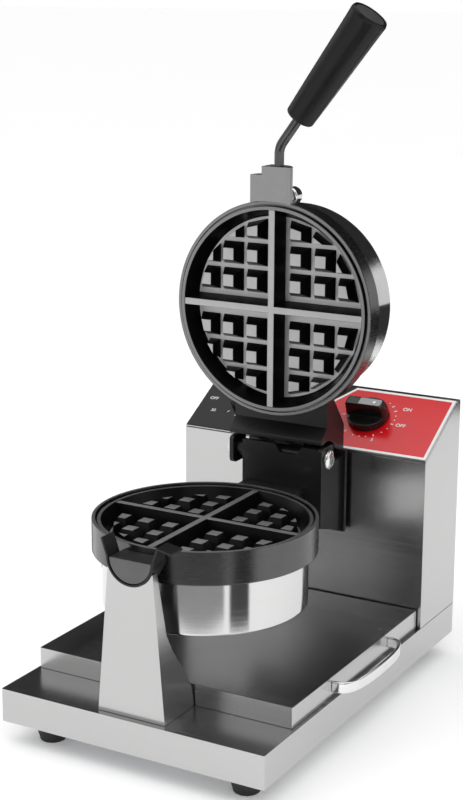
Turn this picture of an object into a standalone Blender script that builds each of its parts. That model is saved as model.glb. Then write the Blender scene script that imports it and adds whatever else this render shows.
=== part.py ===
"""Rotary waffle maker: a flip head with a hinged lid, held between a front post and a rear housing.

Sizes are in millimetres in the machine frame: x to the right, y to the back, z up, with the
table at z = 0, the front of the base at y = 0 and the middle of the base at x = 0.
The meshes are made in metres. The last step moves the whole machine over the origin.
"""

import math

import bmesh
import bpy
from mathutils import Matrix, Vector

MM = 0.001

# Clearances
TOUCH = 0.3
RUNNING = 0.3

# Base
BASE_WIDTH = 250.0
BASE_HEIGHT = 28.8
SHEET = 1.5
FOOT_HEIGHT = 20.0
FOOT_RADIUS = 12.2
FOOT_FLARE = 2.3
FOOT_INSET_X = 31.2
FOOT_INSET_Y = 29.0
BASE_TOP = FOOT_HEIGHT + BASE_HEIGHT

# Drip tray
TRAY_LEFT_MARGIN = 2.0
TRAY_RIGHT_MARGIN = 3.4
TRAY_HEIGHT = 18.0
TRAY_WALL = 1.2
TRAY_GAP = 1.4
BOW_LENGTH = 110.0
BOW_REACH = 19.0
BOW_THICKNESS = 3.0
BOW_HEIGHT = 10.0

# Head, measured from the flip axis
FLIP_HEIGHT = 182.3
MOULD_RADIUS = 88.0
MOULD_FLOOR_RADIUS = MOULD_RADIUS - 6.0
STEP_RADIUS = MOULD_RADIUS + 4.4
RING_RADIUS = MOULD_RADIUS + 7.8
MOULD_DEPTH = 15.5
PLATE_FLOOR = 3.5
LIP_HEIGHT = 2.0
FACE_ABOVE_FLIP = 2.9
LOWER_RING_DEPTH = MOULD_DEPTH + PLATE_FLOOR + 7.5
UPPER_RING_DEPTH = MOULD_DEPTH + PLATE_FLOOR + 1.0
LOWER_DEPTH = 72.9
UPPER_DEPTH = 60.5
LOWER_BAND_RADIUS = RING_RADIUS - 8.0
UPPER_BAND_RADIUS = RING_RADIUS - 7.5
BAND_WALL = 1.2
BAR_HALF = 3.0
BAR_FOOT = 6.6
PEG_PITCH = 24.0
PEG_FIRST = 21.5
PEG_HALF = 10.3
PEG_HEIGHT = 11.2
PEG_TAPER = 0.53
TRUNNION_RADIUS = 19.6
TRUNNION_SPLIT = 0.15
TAB_STEP = 8.5
TAB_WIDE = 22.6
TAB_LONG = 30.2

# Front post and cradle
POST_FRONT = 6.2
POST_TO_RING = 21.2
POST_FOOT_HALF = 31.7
POST_TIP_HALF = 21.0
POST_TIP_BELOW_FLIP = 8.7
POST_FOOT_DEPTH = 45.0
CRADLE_WALL = 1.8
CRADLE_GAP = 0.4
CRADLE_DEPTH = 17.0
EAR_RISE = 14.6
EAR_LEAN = 5.0
EAR_LIP = 14.0
EAR_DROOP = 2.5

# Housing
BRACKET_TO_HOUSING = 5.4
PANEL_ABOVE_FLIP = 25.9
PANEL_RISE = 40.1
PANEL_DEPTH = 70.6
REAR_LIP = 8.0
PANEL_SHEET = 1.5
LABEL_SHEET = 0.5
LABEL_MARGIN = 2.4
KNOB_RADIUS = 20.0
KNOB_HEIGHT = 20.0
KNOB_SKIRT = 8.5
KNOB_BAR = 12.0
KNOB_SHAFT_RADIUS = 3.0
TIMER_X = 51.0
THERMOSTAT_X = -75.0
TIMER_UP_PANEL = 43.5
THERMOSTAT_UP_PANEL = 46.0
REAR_COVER_INSET = 1.2

# Rotor and hinge
RING_TO_HINGE = 39.6
HINGE_ABOVE_FLIP = 26.1
HINGE_PIN_RADIUS = 4.0
EAR_REACH = 12.0
BRACKET_HALF = 47.0
BRACKET_PLATE = 4.0
BRACKET_BEHIND_HINGE = 34.4
WALL_LEFT = -33.3
WALL_SHEET = 3.6
WALL_ABOVE_HINGE = 11.2
NOTCH_ABOVE_HINGE = 3.7
NOTCH_LEFT = 5.0
NOTCH_RIGHT = 22.0
ARM_ABOVE_STOP = 1.3
SHAFT_RADIUS = 12.0

# Handle
HANDLE_X = 5.0
ROD_RADIUS = 4.3
ROD_BEHIND_FLAT = 7.0
ROD_RISE = 16.0
HANDLE_LEAN = 36.4
GRIP_START = 31.0
GRIP_LENGTH = 110.0
GRIP_LOW_RADIUS = 13.4
GRIP_TOP_RADIUS = 17.0
ROD_IN_GRIP = 40.0

# Places that follow from the sizes above
PAN_FROM_FRONT = POST_FRONT + POST_TO_RING + RING_RADIUS
HINGE_FROM_FRONT = PAN_FROM_FRONT + RING_RADIUS + RING_TO_HINGE
HINGE_HEIGHT = FLIP_HEIGHT + HINGE_ABOVE_FLIP
BRACKET_BACK = HINGE_FROM_FRONT + BRACKET_BEHIND_HINGE
HOUSING_FRONT = BRACKET_BACK + BRACKET_TO_HOUSING
PANEL_FRONT_HEIGHT = FLIP_HEIGHT + PANEL_ABOVE_FLIP
PANEL_BACK_HEIGHT = PANEL_FRONT_HEIGHT + PANEL_RISE
PANEL_BACK = HOUSING_FRONT + PANEL_DEPTH
BASE_LENGTH = PANEL_BACK + REAR_LIP
FACE_HEIGHT = FLIP_HEIGHT + FACE_ABOVE_FLIP
LID_FACE = HINGE_FROM_FRONT + (FACE_HEIGHT + TOUCH) - HINGE_HEIGHT
LID_CENTRE = HINGE_HEIGHT + HINGE_FROM_FRONT - PAN_FROM_FRONT
LID_FLIP = HINGE_FROM_FRONT + FLIP_HEIGHT - HINGE_HEIGHT
BRACKET_FRONT = HINGE_FROM_FRONT - EAR_REACH
KNUCKLE_RADIUS = EAR_REACH - WALL_SHEET - 0.5
SLOPE = math.atan2(PANEL_RISE, PANEL_DEPTH)
SLOPE_LENGTH = math.hypot(PANEL_RISE, PANEL_DEPTH)

# Sides of round pieces
LARGE_ROUND = 64
ROUND = 40
SMALL_ROUND = 24
TINY_ROUND = 16


# ---------------------------------------------------------------- materials

def material(name, colour, metallic, roughness):
    made = bpy.data.materials.new(name)
    made.use_nodes = True
    shader = made.node_tree.nodes["Principled BSDF"]
    shader.inputs["Base Color"].default_value = (*colour, 1.0)
    shader.inputs["Metallic"].default_value = metallic
    shader.inputs["Roughness"].default_value = roughness
    made.diffuse_color = (*colour, 1.0)
    return made


# ---------------------------------------------------------------- meshes

def add_object(name, points, faces, look):
    """A closed mesh object from points in millimetres."""
    mesh = bpy.data.meshes.new(name)
    mesh.from_pydata([Vector(p) * MM for p in points], [], faces)
    work = bmesh.new()
    work.from_mesh(mesh)
    bmesh.ops.remove_doubles(work, verts=work.verts, dist=1e-7)
    bmesh.ops.recalc_face_normals(work, faces=work.faces)
    work.to_mesh(mesh)
    work.free()
    thing = bpy.data.objects.new(name, mesh)
    bpy.context.scene.collection.objects.link(thing)
    if look:
        mesh.materials.append(look)
    return thing


def combine(target, tool, operation):
    """Cuts or joins with a Boolean, keeps the result and drops the tool."""
    change = target.modifiers.new("Combine", "BOOLEAN")
    change.operation = operation
    change.solver = "EXACT"
    change.object = tool
    bpy.context.view_layer.update()
    graph = bpy.context.evaluated_depsgraph_get()
    result = bpy.data.meshes.new_from_object(target.evaluated_get(graph))
    target.modifiers.clear()
    before = target.data
    target.data = result
    bpy.data.meshes.remove(before)
    shape = tool.data
    bpy.data.objects.remove(tool)
    bpy.data.meshes.remove(shape)
    return target


def cut(target, tool):
    return combine(target, tool, "DIFFERENCE")


def join(target, tool):
    return combine(target, tool, "UNION")


def prism(name, outline, axis, low, high, look=None):
    """An outline in the plane across an axis, extruded from low to high along that axis."""
    place = {
        "x": lambda a, b, h: (h, a, b),
        "y": lambda a, b, h: (a, h, b),
        "z": lambda a, b, h: (a, b, h),
    }[axis]
    count = len(outline)
    points = [place(a, b, low) for a, b in outline] + [place(a, b, high) for a, b in outline]
    faces = [list(range(count)), list(range(count, 2 * count))]
    for i in range(count):
        j = (i + 1) % count
        faces.append([i, j, count + j, count + i])
    return add_object(name, points, faces, look)


def box(name, low, high, look=None, bevel=0.0):
    """A box between two corners, with its edges bevelled."""
    thing = prism(
        name,
        [(low[0], low[1]), (high[0], low[1]), (high[0], high[1]), (low[0], high[1])],
        "z",
        low[2],
        high[2],
        look,
    )
    if bevel:
        work = bmesh.new()
        work.from_mesh(thing.data)
        bmesh.ops.bevel(
            work, geom=work.edges[:], offset=bevel * MM, segments=2, profile=0.5, affect="EDGES"
        )
        work.to_mesh(thing.data)
        work.free()
    return thing


def across(axis):
    """Two unit vectors that make a right-handed frame with this axis."""
    axis = Vector(axis).normalized()
    helper = Vector((1, 0, 0)) if abs(axis.x) < 0.9 else Vector((0, 1, 0))
    side = axis.cross(helper).normalized()
    return axis, side, axis.cross(side)


def lathe(name, profile, centre, axis, look=None, segments=ROUND):
    """Turns (radius, height) points about an axis. The profile closes on itself or on the axis."""
    axis, side, other = across(axis)
    centre = Vector(centre)
    points = []
    rows = []
    for radius, height in profile:
        middle = centre + axis * height
        if radius == 0:
            rows.append([len(points)] * segments)
            points.append(middle)
            continue
        rows.append(range(len(points), len(points) + segments))
        for i in range(segments):
            angle = 2 * math.pi * (i + 0.5) / segments
            points.append(middle + side * radius * math.cos(angle) + other * radius * math.sin(angle))
    faces = []
    for k, row in enumerate(rows):
        after = rows[(k + 1) % len(rows)]
        if profile[k][0] == 0 and profile[(k + 1) % len(rows)][0] == 0:
            continue
        for i in range(segments):
            j = (i + 1) % segments
            corners = [row[i], row[j], after[j], after[i]]
            faces.append(list(dict.fromkeys(corners)))
    return add_object(name, points, faces, look)


def cylinder(name, radius, low, high, centre, axis, look=None, segments=ROUND):
    profile = [(0, low), (radius, low), (radius, high), (0, high)]
    return lathe(name, profile, centre, axis, look, segments)


def sweep(name, path, section, up, look):
    """Carries a closed section of (across, up) points along a path."""
    path = [Vector(p) for p in path]
    up = Vector(up)
    points = []
    for i, here in enumerate(path):
        ahead = path[min(i + 1, len(path) - 1)] - path[max(i - 1, 0)]
        ahead.normalize()
        aside = ahead.cross(up).normalized()
        above = aside.cross(ahead)
        points += [here + aside * a + above * b for a, b in section]
    count = len(section)
    faces = [list(range(count)), list(range(len(points) - count, len(points)))]
    for k in range(len(path) - 1):
        for i in range(count):
            j = (i + 1) % count
            faces.append([k * count + i, k * count + j, (k + 1) * count + j, (k + 1) * count + i])
    return add_object(name, points, faces, look)


def arc(centre, radius, start, end, steps):
    """Points on an arc, with angles in degrees."""
    turn = [math.radians(start + (end - start) * i / steps) for i in range(steps + 1)]
    return [(centre[0] + radius * math.cos(t), centre[1] + radius * math.sin(t)) for t in turn]


def clip_to_circle(outline, radius, sides=40):
    """The part of a convex outline inside a circle about the origin."""
    for k in range(sides):
        angle = 2 * math.pi * (k + 0.5) / sides
        nx, ny = math.cos(angle), math.sin(angle)
        kept = []
        for i, (ax, ay) in enumerate(outline):
            bx, by = outline[(i + 1) % len(outline)]
            da = ax * nx + ay * ny - radius
            db = bx * nx + by * ny - radius
            if da <= 0:
                kept.append((ax, ay))
            if (da < 0 < db) or (db < 0 < da):
                t = da / (da - db)
                kept.append((ax + (bx - ax) * t, ay + (by - ay) * t))
        outline = kept
        if len(outline) < 3:
            return []
    return outline


def area_and_middle(outline):
    total = cx = cy = 0.0
    for i, (ax, ay) in enumerate(outline):
        bx, by = outline[(i + 1) % len(outline)]
        part = ax * by - bx * ay
        total += part
        cx += (ax + bx) * part
        cy += (ay + by) * part
    return total / 2, (cx / (3 * total), cy / (3 * total))


# ---------------------------------------------------------------- base

def make_base(looks):
    half = BASE_WIDTH / 2
    outline = (-half, 0, FOOT_HEIGHT), (half, BASE_LENGTH, BASE_TOP)
    pan = box("base_pan", *outline, looks["steel"], bevel=0.9)
    inside_low = (-half + SHEET, SHEET, FOOT_HEIGHT - 5)
    inside_high = (half - SHEET, BASE_LENGTH - SHEET, BASE_TOP - SHEET)
    cut(pan, box("inside", inside_low, inside_high))
    gap = SHEET + TOUCH
    cover = box(
        "bottom_cover",
        (-half + gap, gap, FOOT_HEIGHT),
        (half - gap, BASE_LENGTH - gap, FOOT_HEIGHT + SHEET),
        looks["galvanised"],
    )
    for i in range(7):
        x = (i - 3) * 16.0
        low = (x - 3, BASE_LENGTH / 2 - 35, FOOT_HEIGHT - 5)
        cut(cover, box("vent", low, (x + 3, BASE_LENGTH / 2 + 35, FOOT_HEIGHT + 5)))
    places = {
        "foot_front_left": (-1, FOOT_INSET_Y),
        "foot_front_right": (1, FOOT_INSET_Y),
        "foot_rear_left": (-1, BASE_LENGTH - FOOT_INSET_Y),
        "foot_rear_right": (1, BASE_LENGTH - FOOT_INSET_Y),
    }
    for name, (side, y) in places.items():
        profile = [
            (0, 0),
            (FOOT_RADIUS - 1.2, 0),
            (FOOT_RADIUS, 1.2),
            (FOOT_RADIUS + FOOT_FLARE, FOOT_HEIGHT - TOUCH),
            (0, FOOT_HEIGHT - TOUCH),
        ]
        centre = (side * (half - FOOT_INSET_X), y, 0)
        lathe(name, profile, centre, (0, 0, 1), looks["rubber"], SMALL_ROUND)


# ---------------------------------------------------------------- drip tray

def tray_limits():
    half = BASE_WIDTH / 2
    low = (-half + TRAY_LEFT_MARGIN, POST_FRONT + POST_FOOT_DEPTH + TRAY_GAP, BASE_TOP + TOUCH)
    high = (half - TRAY_RIGHT_MARGIN, HOUSING_FRONT - 2.4, BASE_TOP + TOUCH + TRAY_HEIGHT)
    return low, high


def make_tray(looks):
    low, high = tray_limits()
    tray = box("drip_tray", low, high, looks["steel"], bevel=0.5)
    inner_low = (low[0] + TRAY_WALL, low[1] + TRAY_WALL, low[2] + TRAY_WALL)
    inner_high = (high[0] - TRAY_WALL, high[1] - TRAY_WALL, high[2] + 5)
    cut(tray, box("inside", inner_low, inner_high))
    middle = (low[1] + high[1]) / 2 + 4.5
    height = low[2] + TRAY_HEIGHT / 2 + 0.5
    start = high[0] + TOUCH
    path = []
    for i in range(25):
        t = math.pi * (1 - i / 24)
        reach = math.sin(t) ** 0.55 if 0 < i < 24 else 0.0
        along = math.copysign(abs(math.cos(t)) ** 0.8, math.cos(t))
        path.append((start + BOW_REACH * reach, middle + BOW_LENGTH / 2 * along, height))
    a, b = BOW_THICKNESS / 2, BOW_HEIGHT / 2
    section = [(a, -b + a), (a, b - a), (a / 2, b), (-a / 2, b), (-a, b - a), (-a, -b + a)]
    section += [(-a / 2, -b), (a / 2, -b)]
    bow = sweep("tray_handle", path, section, (0, 0, 1), looks["chrome"])
    cut(bow, box("wall", (start - 20, low[1], low[2] - 20), (start, high[1], high[2] + 20)))
    return tray, bow


# ---------------------------------------------------------------- front post

def post_half_width(z):
    tip = FLIP_HEIGHT - POST_TIP_BELOW_FLIP
    return POST_FOOT_HALF + (POST_TIP_HALF - POST_FOOT_HALF) * (z - BASE_TOP) / (tip - BASE_TOP)


def make_post(looks):
    low = BASE_TOP + TOUCH
    tip = FLIP_HEIGHT - POST_TIP_BELOW_FLIP
    wide, narrow = post_half_width(low), POST_TIP_HALF
    face = [(-wide, low), (wide, low), (narrow, tip), (-narrow, tip)]
    post = prism("front_post", face, "y", POST_FRONT, POST_FRONT + SHEET, looks["steel"])
    rise = tip - low
    back = POST_FRONT + POST_FOOT_DEPTH
    edge = [(POST_FRONT + 6.5, tip), (POST_FRONT + 13.2, low + rise * 0.57)]
    edge += [(POST_FRONT + 20.0, low + rise * 0.45), (POST_FRONT + 30.1, low + rise * 0.33)]
    edge += [(POST_FRONT + 38.5, low + rise * 0.23), (POST_FRONT + 43.2, low + rise * 0.155)]
    edge += [(back, low + rise * 0.05), (back, low)]
    for side in (-1, 1):
        flange = [(POST_FRONT + 0.2, low)] + edge[::-1] + [(POST_FRONT + 0.2, tip)]
        points = []
        for inset in (0, SHEET):
            points += [(side * (post_half_width(z) - inset), y, z) for y, z in flange]
        count = len(flange)
        faces = [list(range(count)), list(range(count, 2 * count))]
        for i in range(count):
            j = (i + 1) % count
            faces.append([i, j, count + j, count + i])
        join(post, add_object("flange", points, faces, None))
    foot = (-wide + 0.2, POST_FRONT + 0.2, low), (wide - 0.2, back - 0.2, low + SHEET + 0.3)
    join(post, box("foot", *foot))
    notch = TRUNNION_RADIUS + CRADLE_GAP + CRADLE_WALL + TOUCH
    centre = (0, 0, FLIP_HEIGHT)
    cut(post, cylinder("notch", notch, -10, POST_FRONT + 40, centre, (0, 1, 0)))
    return post


def make_cradle(looks):
    """The black saddle under the front trunnion. Only its right ear ends in a lip."""
    inner = TRUNNION_RADIUS + CRADLE_GAP
    outer = inner + CRADLE_WALL
    top = FLIP_HEIGHT + EAR_RISE
    lean = EAR_LEAN
    droop = top - EAR_DROOP
    inside = [(-inner - lean, top)]
    inside += arc((0, FLIP_HEIGHT), inner, 180, 360, 28)
    inside += [(inner + lean, top), (inner + lean + EAR_LIP, droop)]
    outside = [(inner + lean + EAR_LIP, droop - CRADLE_WALL), (outer + lean, top - CRADLE_WALL)]
    outside += arc((0, FLIP_HEIGHT), outer, 360, 180, 28)
    outside += [(-outer - lean, top)]
    start = POST_FRONT - 1.0
    return prism(
        "cradle_saddle", inside + outside, "y", start, start + CRADLE_DEPTH, looks["black"]
    )


# ---------------------------------------------------------------- housing

def on_panel(x, up, height):
    """A point of the sloped panel, from its distance up the slope and its height over it."""
    y = HOUSING_FRONT + up * math.cos(SLOPE) - height * math.sin(SLOPE)
    z = PANEL_FRONT_HEIGHT + up * math.sin(SLOPE) + height * math.cos(SLOPE)
    return (x, y, z)


def panel_normal():
    return Vector((0, -math.sin(SLOPE), math.cos(SLOPE)))


def panel_slab(name, outline, low, high, look=None):
    """An outline in (x, up the slope), extruded along the panel's normal."""
    count = len(outline)
    points = [on_panel(x, up, low) for x, up in outline]
    points += [on_panel(x, up, high) for x, up in outline]
    faces = [list(range(count)), list(range(count, 2 * count))]
    for i in range(count):
        j = (i + 1) % count
        faces.append([i, j, count + j, count + i])
    return add_object(name, points, faces, look)


def knob_places():
    return {
        "thermostat": (THERMOSTAT_X, THERMOSTAT_UP_PANEL),
        "timer": (TIMER_X, TIMER_UP_PANEL),
    }


def drill_panel(thing, radius):
    for x, up in knob_places().values():
        centre = on_panel(x, up, 0)
        cut(thing, cylinder("drill", radius, -30, 30, centre, panel_normal(), None, TINY_ROUND))


def make_housing(looks):
    half = BASE_WIDTH / 2
    low = BASE_TOP + TOUCH
    sink = PANEL_SHEET + TOUCH
    front_top = PANEL_FRONT_HEIGHT - sink / math.cos(SLOPE)
    back_turn = PANEL_BACK - 0.5
    slope_back = front_top + (back_turn - HOUSING_FRONT) * math.tan(SLOPE)
    outline = [(HOUSING_FRONT, low), (BASE_LENGTH, low), (BASE_LENGTH, PANEL_BACK_HEIGHT)]
    outline += [(PANEL_BACK + 1.2, PANEL_BACK_HEIGHT), (PANEL_BACK + 1.2, slope_back + 0.4)]
    outline += [(back_turn, slope_back), (HOUSING_FRONT, front_top)]
    shell = prism("housing_shell", outline, "x", -half, half, looks["steel"])
    inner_front = HOUSING_FRONT + SHEET
    inner_top = front_top - SHEET / math.cos(SLOPE)
    inner_back = inner_top + (back_turn - inner_front) * math.tan(SLOPE)
    hollow = [(inner_front, low - 5), (BASE_LENGTH + 5, low - 5)]
    hollow += [(BASE_LENGTH + 5, PANEL_BACK_HEIGHT - SHEET)]
    hollow += [(PANEL_BACK + 1.2 + SHEET, PANEL_BACK_HEIGHT - SHEET)]
    hollow += [(PANEL_BACK + 1.2 + SHEET, inner_back), (back_turn, inner_back)]
    hollow += [(inner_front, inner_top + SHEET * math.tan(SLOPE))]
    cut(shell, prism("hollow", hollow, "x", -half + SHEET, half - SHEET))
    edge = 8.0
    window = [(-half + edge, edge), (half - edge, edge)]
    window += [(half - edge, SLOPE_LENGTH - edge), (-half + edge, SLOPE_LENGTH - edge)]
    cut(shell, panel_slab("window", window, -12, 6))
    centre = (0, HOUSING_FRONT, FLIP_HEIGHT)
    cut(shell, cylinder("hole", SHAFT_RADIUS + 1.0, -10, 10, centre, (0, 1, 0), None, ROUND))
    return shell


def make_panel(looks):
    half = BASE_WIDTH / 2
    outline = [(-half, 0), (half, 0), (half, SLOPE_LENGTH), (-half, SLOPE_LENGTH)]
    panel = panel_slab("control_panel", outline, -PANEL_SHEET, 0, looks["steel"])
    drill_panel(panel, KNOB_SHAFT_RADIUS + 1.2)
    near, far = LABEL_MARGIN, SLOPE_LENGTH - LABEL_MARGIN
    side = half - LABEL_MARGIN
    split = TIMER_X - 43.0
    corner = split + 16.0
    red = [(split, near), (side, near), (side, far), (corner, far), (split, far - 21.0)]
    label = panel_slab("timer_label", red, TOUCH, TOUCH + LABEL_SHEET, looks["red"])
    drill_panel(label, KNOB_SHAFT_RADIUS + 1.2)
    gap = 1.6
    black = [(-side, near), (split - gap, near), (split - gap, far - 21.0 + gap * 0.6)]
    black += [(corner - gap * 1.4, far), (-side, far)]
    label = panel_slab("thermostat_label", black, TOUCH, TOUCH + LABEL_SHEET, looks["black"])
    drill_panel(label, KNOB_SHAFT_RADIUS + 1.2)


def make_knob(name, x, up, looks):
    """A round skirt with a bar grip across it. The bar lies along x at rest."""
    low = TOUCH + LABEL_SHEET + 0.7
    normal = panel_normal()
    centre = on_panel(x, up, low)
    bore = KNOB_SHAFT_RADIUS + RUNNING
    profile = [
        (bore, 0),
        (KNOB_RADIUS - 0.4, 0),
        (KNOB_RADIUS, 0.6),
        (KNOB_RADIUS - 0.6, KNOB_SKIRT),
        (KNOB_RADIUS - 1.4, KNOB_HEIGHT - 1.2),
        (KNOB_RADIUS - 2.6, KNOB_HEIGHT),
        (0, KNOB_HEIGHT),
        (0, KNOB_HEIGHT - 8.0),
        (bore, KNOB_HEIGHT - 8.0),
    ]
    knob = lathe(name, profile, centre, normal, looks["black"])
    for side in (-1, 1):
        near, far = KNOB_BAR / 2, KNOB_RADIUS + 5
        lean = 1.4
        corners = [(near, KNOB_SKIRT), (far, KNOB_SKIRT - 1.5), (far, KNOB_HEIGHT + 5)]
        corners += [(near - lean, KNOB_HEIGHT + 5)]
        points = []
        for along in (-KNOB_RADIUS - 5, KNOB_RADIUS + 5):
            for a, h in corners:
                points.append(on_panel(x + along, up + side * a, low + h))
        faces = [[0, 1, 2, 3], [4, 5, 6, 7]]
        faces += [[i, (i + 1) % 4, 4 + (i + 1) % 4, 4 + i] for i in range(4)]
        cut(knob, add_object("side", points, faces, None))
    shaft = cylinder(
        name.replace("knob", "shaft"),
        KNOB_SHAFT_RADIUS,
        -PANEL_SHEET - 3.2,
        low + KNOB_HEIGHT - 8.0 - TOUCH,
        on_panel(x, up, 0),
        normal,
        looks["brass"],
        TINY_ROUND,
    )
    return knob, shaft


def make_controls(looks):
    top = -PANEL_SHEET - 3.5
    for name, (x, up) in knob_places().items():
        outline = [(x - 20, up - 18), (x + 20, up - 18), (x + 20, up + 18), (x - 20, up + 18)]
        panel_slab(name + "_body", outline, top - 28, top, looks["black"])


def make_rear(looks):
    half = BASE_WIDTH / 2 - SHEET - TOUCH
    low = BASE_TOP + TOUCH + 0.2
    high = PANEL_BACK_HEIGHT - SHEET - TOUCH
    back = BASE_LENGTH - REAR_COVER_INSET
    cover = box(
        "rear_cover", (-half, back - SHEET, low), (half, back, high), looks["galvanised"]
    )
    for i in range(6):
        z = low + 90 + i * 13.0
        cut(cover, box("louvre", (-55, back - 5, z), (55, back + 5, z + 4)))
    gland = (70.0, back, low + 28.0)
    cut(cover, cylinder("hole", 9.0, -10, 10, gland, (0, 1, 0), None, SMALL_ROUND))
    profile = [(4.2, -12), (8.0, -12), (8.0, TOUCH), (12.0, TOUCH), (12.0, 5.5)]
    profile += [(10.5, 6.5), (7.5, 13.0), (4.2, 13.0)]
    lathe("cord_gland", profile, gland, (0, 1, 0), looks["black"], SMALL_ROUND)
    for i, (x, z) in enumerate(((-1, low + 12), (1, low + 12), (-1, high - 12), (1, high - 12))):
        profile = [(0, TOUCH), (3.6, TOUCH), (3.2, 1.6), (2.0, 2.3), (0, 2.3)]
        centre = (x * (half - 9), back, z)
        lathe(f"rear_screw_{i + 1}", profile, centre, (0, 1, 0), looks["chrome"], TINY_ROUND)
    box(
        "terminal_block",
        (-70, back - 26, BASE_TOP + TOUCH + 4),
        (-30, back - 10, BASE_TOP + TOUCH + 22),
        looks["black"],
        bevel=1.0,
    )


# ---------------------------------------------------------------- flip bearing

def make_bearing(looks):
    inner = HOUSING_FRONT + SHEET + TOUCH
    centre = (0, 0, FLIP_HEIGHT)
    block = box(
        "bearing_block",
        (-25, inner, FLIP_HEIGHT - 24),
        (25, inner + 22, FLIP_HEIGHT + 12 + 4),
        looks["galvanised"],
        bevel=1.5,
    )
    cut(block, cylinder("bore", SHAFT_RADIUS + RUNNING, inner - 5, inner + 30, centre, (0, 1, 0)))
    low, high = BRACKET_BACK + 1.0, HOUSING_FRONT - TOUCH
    profile = [(SHAFT_RADIUS + 0.4, low), (21.0, low), (22.0, low + 1.0), (22.0, high)]
    profile += [(SHAFT_RADIUS + 0.4, high)]
    lathe("bearing_washer", profile, centre, (0, 1, 0), looks["brass"])
    end = inner + 22 + 12
    profile = [(0, BRACKET_BACK - 9), (SHAFT_RADIUS, BRACKET_BACK - 9)]
    profile += [(SHAFT_RADIUS, end - 0.8), (SHAFT_RADIUS - 0.8, end), (0, end)]
    lathe("flip_shaft", profile, centre, (0, 1, 0), looks["steel"])
    low, high = inner + 22 + 1.0, inner + 22 + 8.0
    profile = [(SHAFT_RADIUS + TOUCH, low), (18.0, low), (18.0, high)]
    profile += [(SHAFT_RADIUS + TOUCH, high)]
    lathe("shaft_collar", profile, centre, (0, 1, 0), looks["galvanised"])


def make_bracket(looks):
    """The black rotor: a back plate, a front wall, a long right plate and a short left ear."""
    y, z = HINGE_FROM_FRONT, HINGE_HEIGHT
    web = FLIP_HEIGHT - 36.0
    wide = BRACKET_HALF + 3
    stop = z + ARM_ABOVE_STOP - TOUCH
    outline = [(-wide, web - 14), (wide, web - 14), (wide, stop), (-wide, stop)]
    back = BRACKET_BACK - BRACKET_PLATE
    bracket = prism("rotor_bracket", outline, "y", back, BRACKET_BACK, looks["black"])
    front = BRACKET_FRONT
    inner = BRACKET_HALF - BRACKET_PLATE
    top, dip = z + WALL_ABOVE_HINGE, z + NOTCH_ABOVE_HINGE
    outline = [(WALL_LEFT, web), (inner + 0.5, web), (inner + 0.5, top), (NOTCH_RIGHT + 5, top)]
    outline += [(NOTCH_RIGHT, dip), (NOTCH_LEFT, dip), (NOTCH_LEFT - 5, top), (WALL_LEFT, top)]
    join(bracket, prism("wall", outline, "y", front, front + WALL_SHEET))
    floor = (WALL_LEFT + 0.5, front + 0.2, web), (inner + 0.5, BRACKET_BACK - 0.5, web + 3.5)
    join(bracket, box("web", *floor))
    reach, corner, rear = EAR_REACH, EAR_REACH - 2.5, BRACKET_BACK - 0.3
    ear = [(front, z + corner), (y - corner, z + reach), (y + corner, z + reach)]
    ear += [(y + reach, z + corner), (y + reach, z - 4.3), (rear, z - 4.3)]
    long_side = [(front, web + 0.2)] + ear + [(rear, web - 13.5)]
    join(bracket, prism("right", long_side, "x", inner, BRACKET_HALF))
    low = z - 13.5
    short_side = [(front + 5, low), (front + 1.5, low + 1.5), (front, low + 5)] + ear + [(rear, low)]
    join(bracket, prism("left", short_side, "x", -BRACKET_HALF, -inner))
    hinge = (0, HINGE_FROM_FRONT, HINGE_HEIGHT)
    bore = HINGE_PIN_RADIUS + RUNNING
    cut(bracket, cylinder("bore", bore, -80, 80, hinge, (1, 0, 0), None, SMALL_ROUND))
    hole = SHAFT_RADIUS + TOUCH
    centre = (0, BRACKET_BACK, FLIP_HEIGHT)
    cut(bracket, cylinder("hole", hole, -10, 10, centre, (0, 1, 0), None, ROUND))
    return bracket


def make_hinge(looks):
    hinge = (0, HINGE_FROM_FRONT, HINGE_HEIGHT)
    face = BRACKET_HALF + TOUCH
    head = 8.8
    profile = [(0, -face - 4.5), (HINGE_PIN_RADIUS, -face - 4.5), (HINGE_PIN_RADIUS, face)]
    profile += [(head, face), (head, face + 3.2), (head - 1.3, face + 4.5), (0, face + 4.5)]
    bolt = lathe("hinge_bolt", profile, hinge, (1, 0, 0), looks["chrome"], SMALL_ROUND)
    slot_low = (face + 3.0, HINGE_FROM_FRONT - 1.1, HINGE_HEIGHT - head - 2)
    slot_high = (face + 8.0, HINGE_FROM_FRONT + 1.1, HINGE_HEIGHT + head + 2)
    cut(bolt, box("slot", slot_low, slot_high))
    bore = (HINGE_PIN_RADIUS + TOUCH) / math.cos(math.pi / 6)
    profile = [(bore, -face - 4.2), (8.0, -face - 4.2), (8.0, -face), (bore, -face)]
    lathe("hinge_nut", profile, hinge, (1, 0, 0), looks["chrome"], 6)


def make_pan_arm(looks):
    web = FLIP_HEIGHT - 32.0
    low = (-30, PAN_FROM_FRONT + 60, web)
    high = (30, BRACKET_FRONT - TOUCH, FLIP_HEIGHT - 0.5)
    arm = box("pan_arm", low, high, looks["iron"])
    reach = RING_RADIUS + TOUCH
    centre = (0, PAN_FROM_FRONT, 0)
    cut(arm, cylinder("ring", reach, web - 5, FLIP_HEIGHT + 5, centre, (0, 0, 1), None, LARGE_ROUND))
    return arm


# ---------------------------------------------------------------- plates and casings

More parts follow.
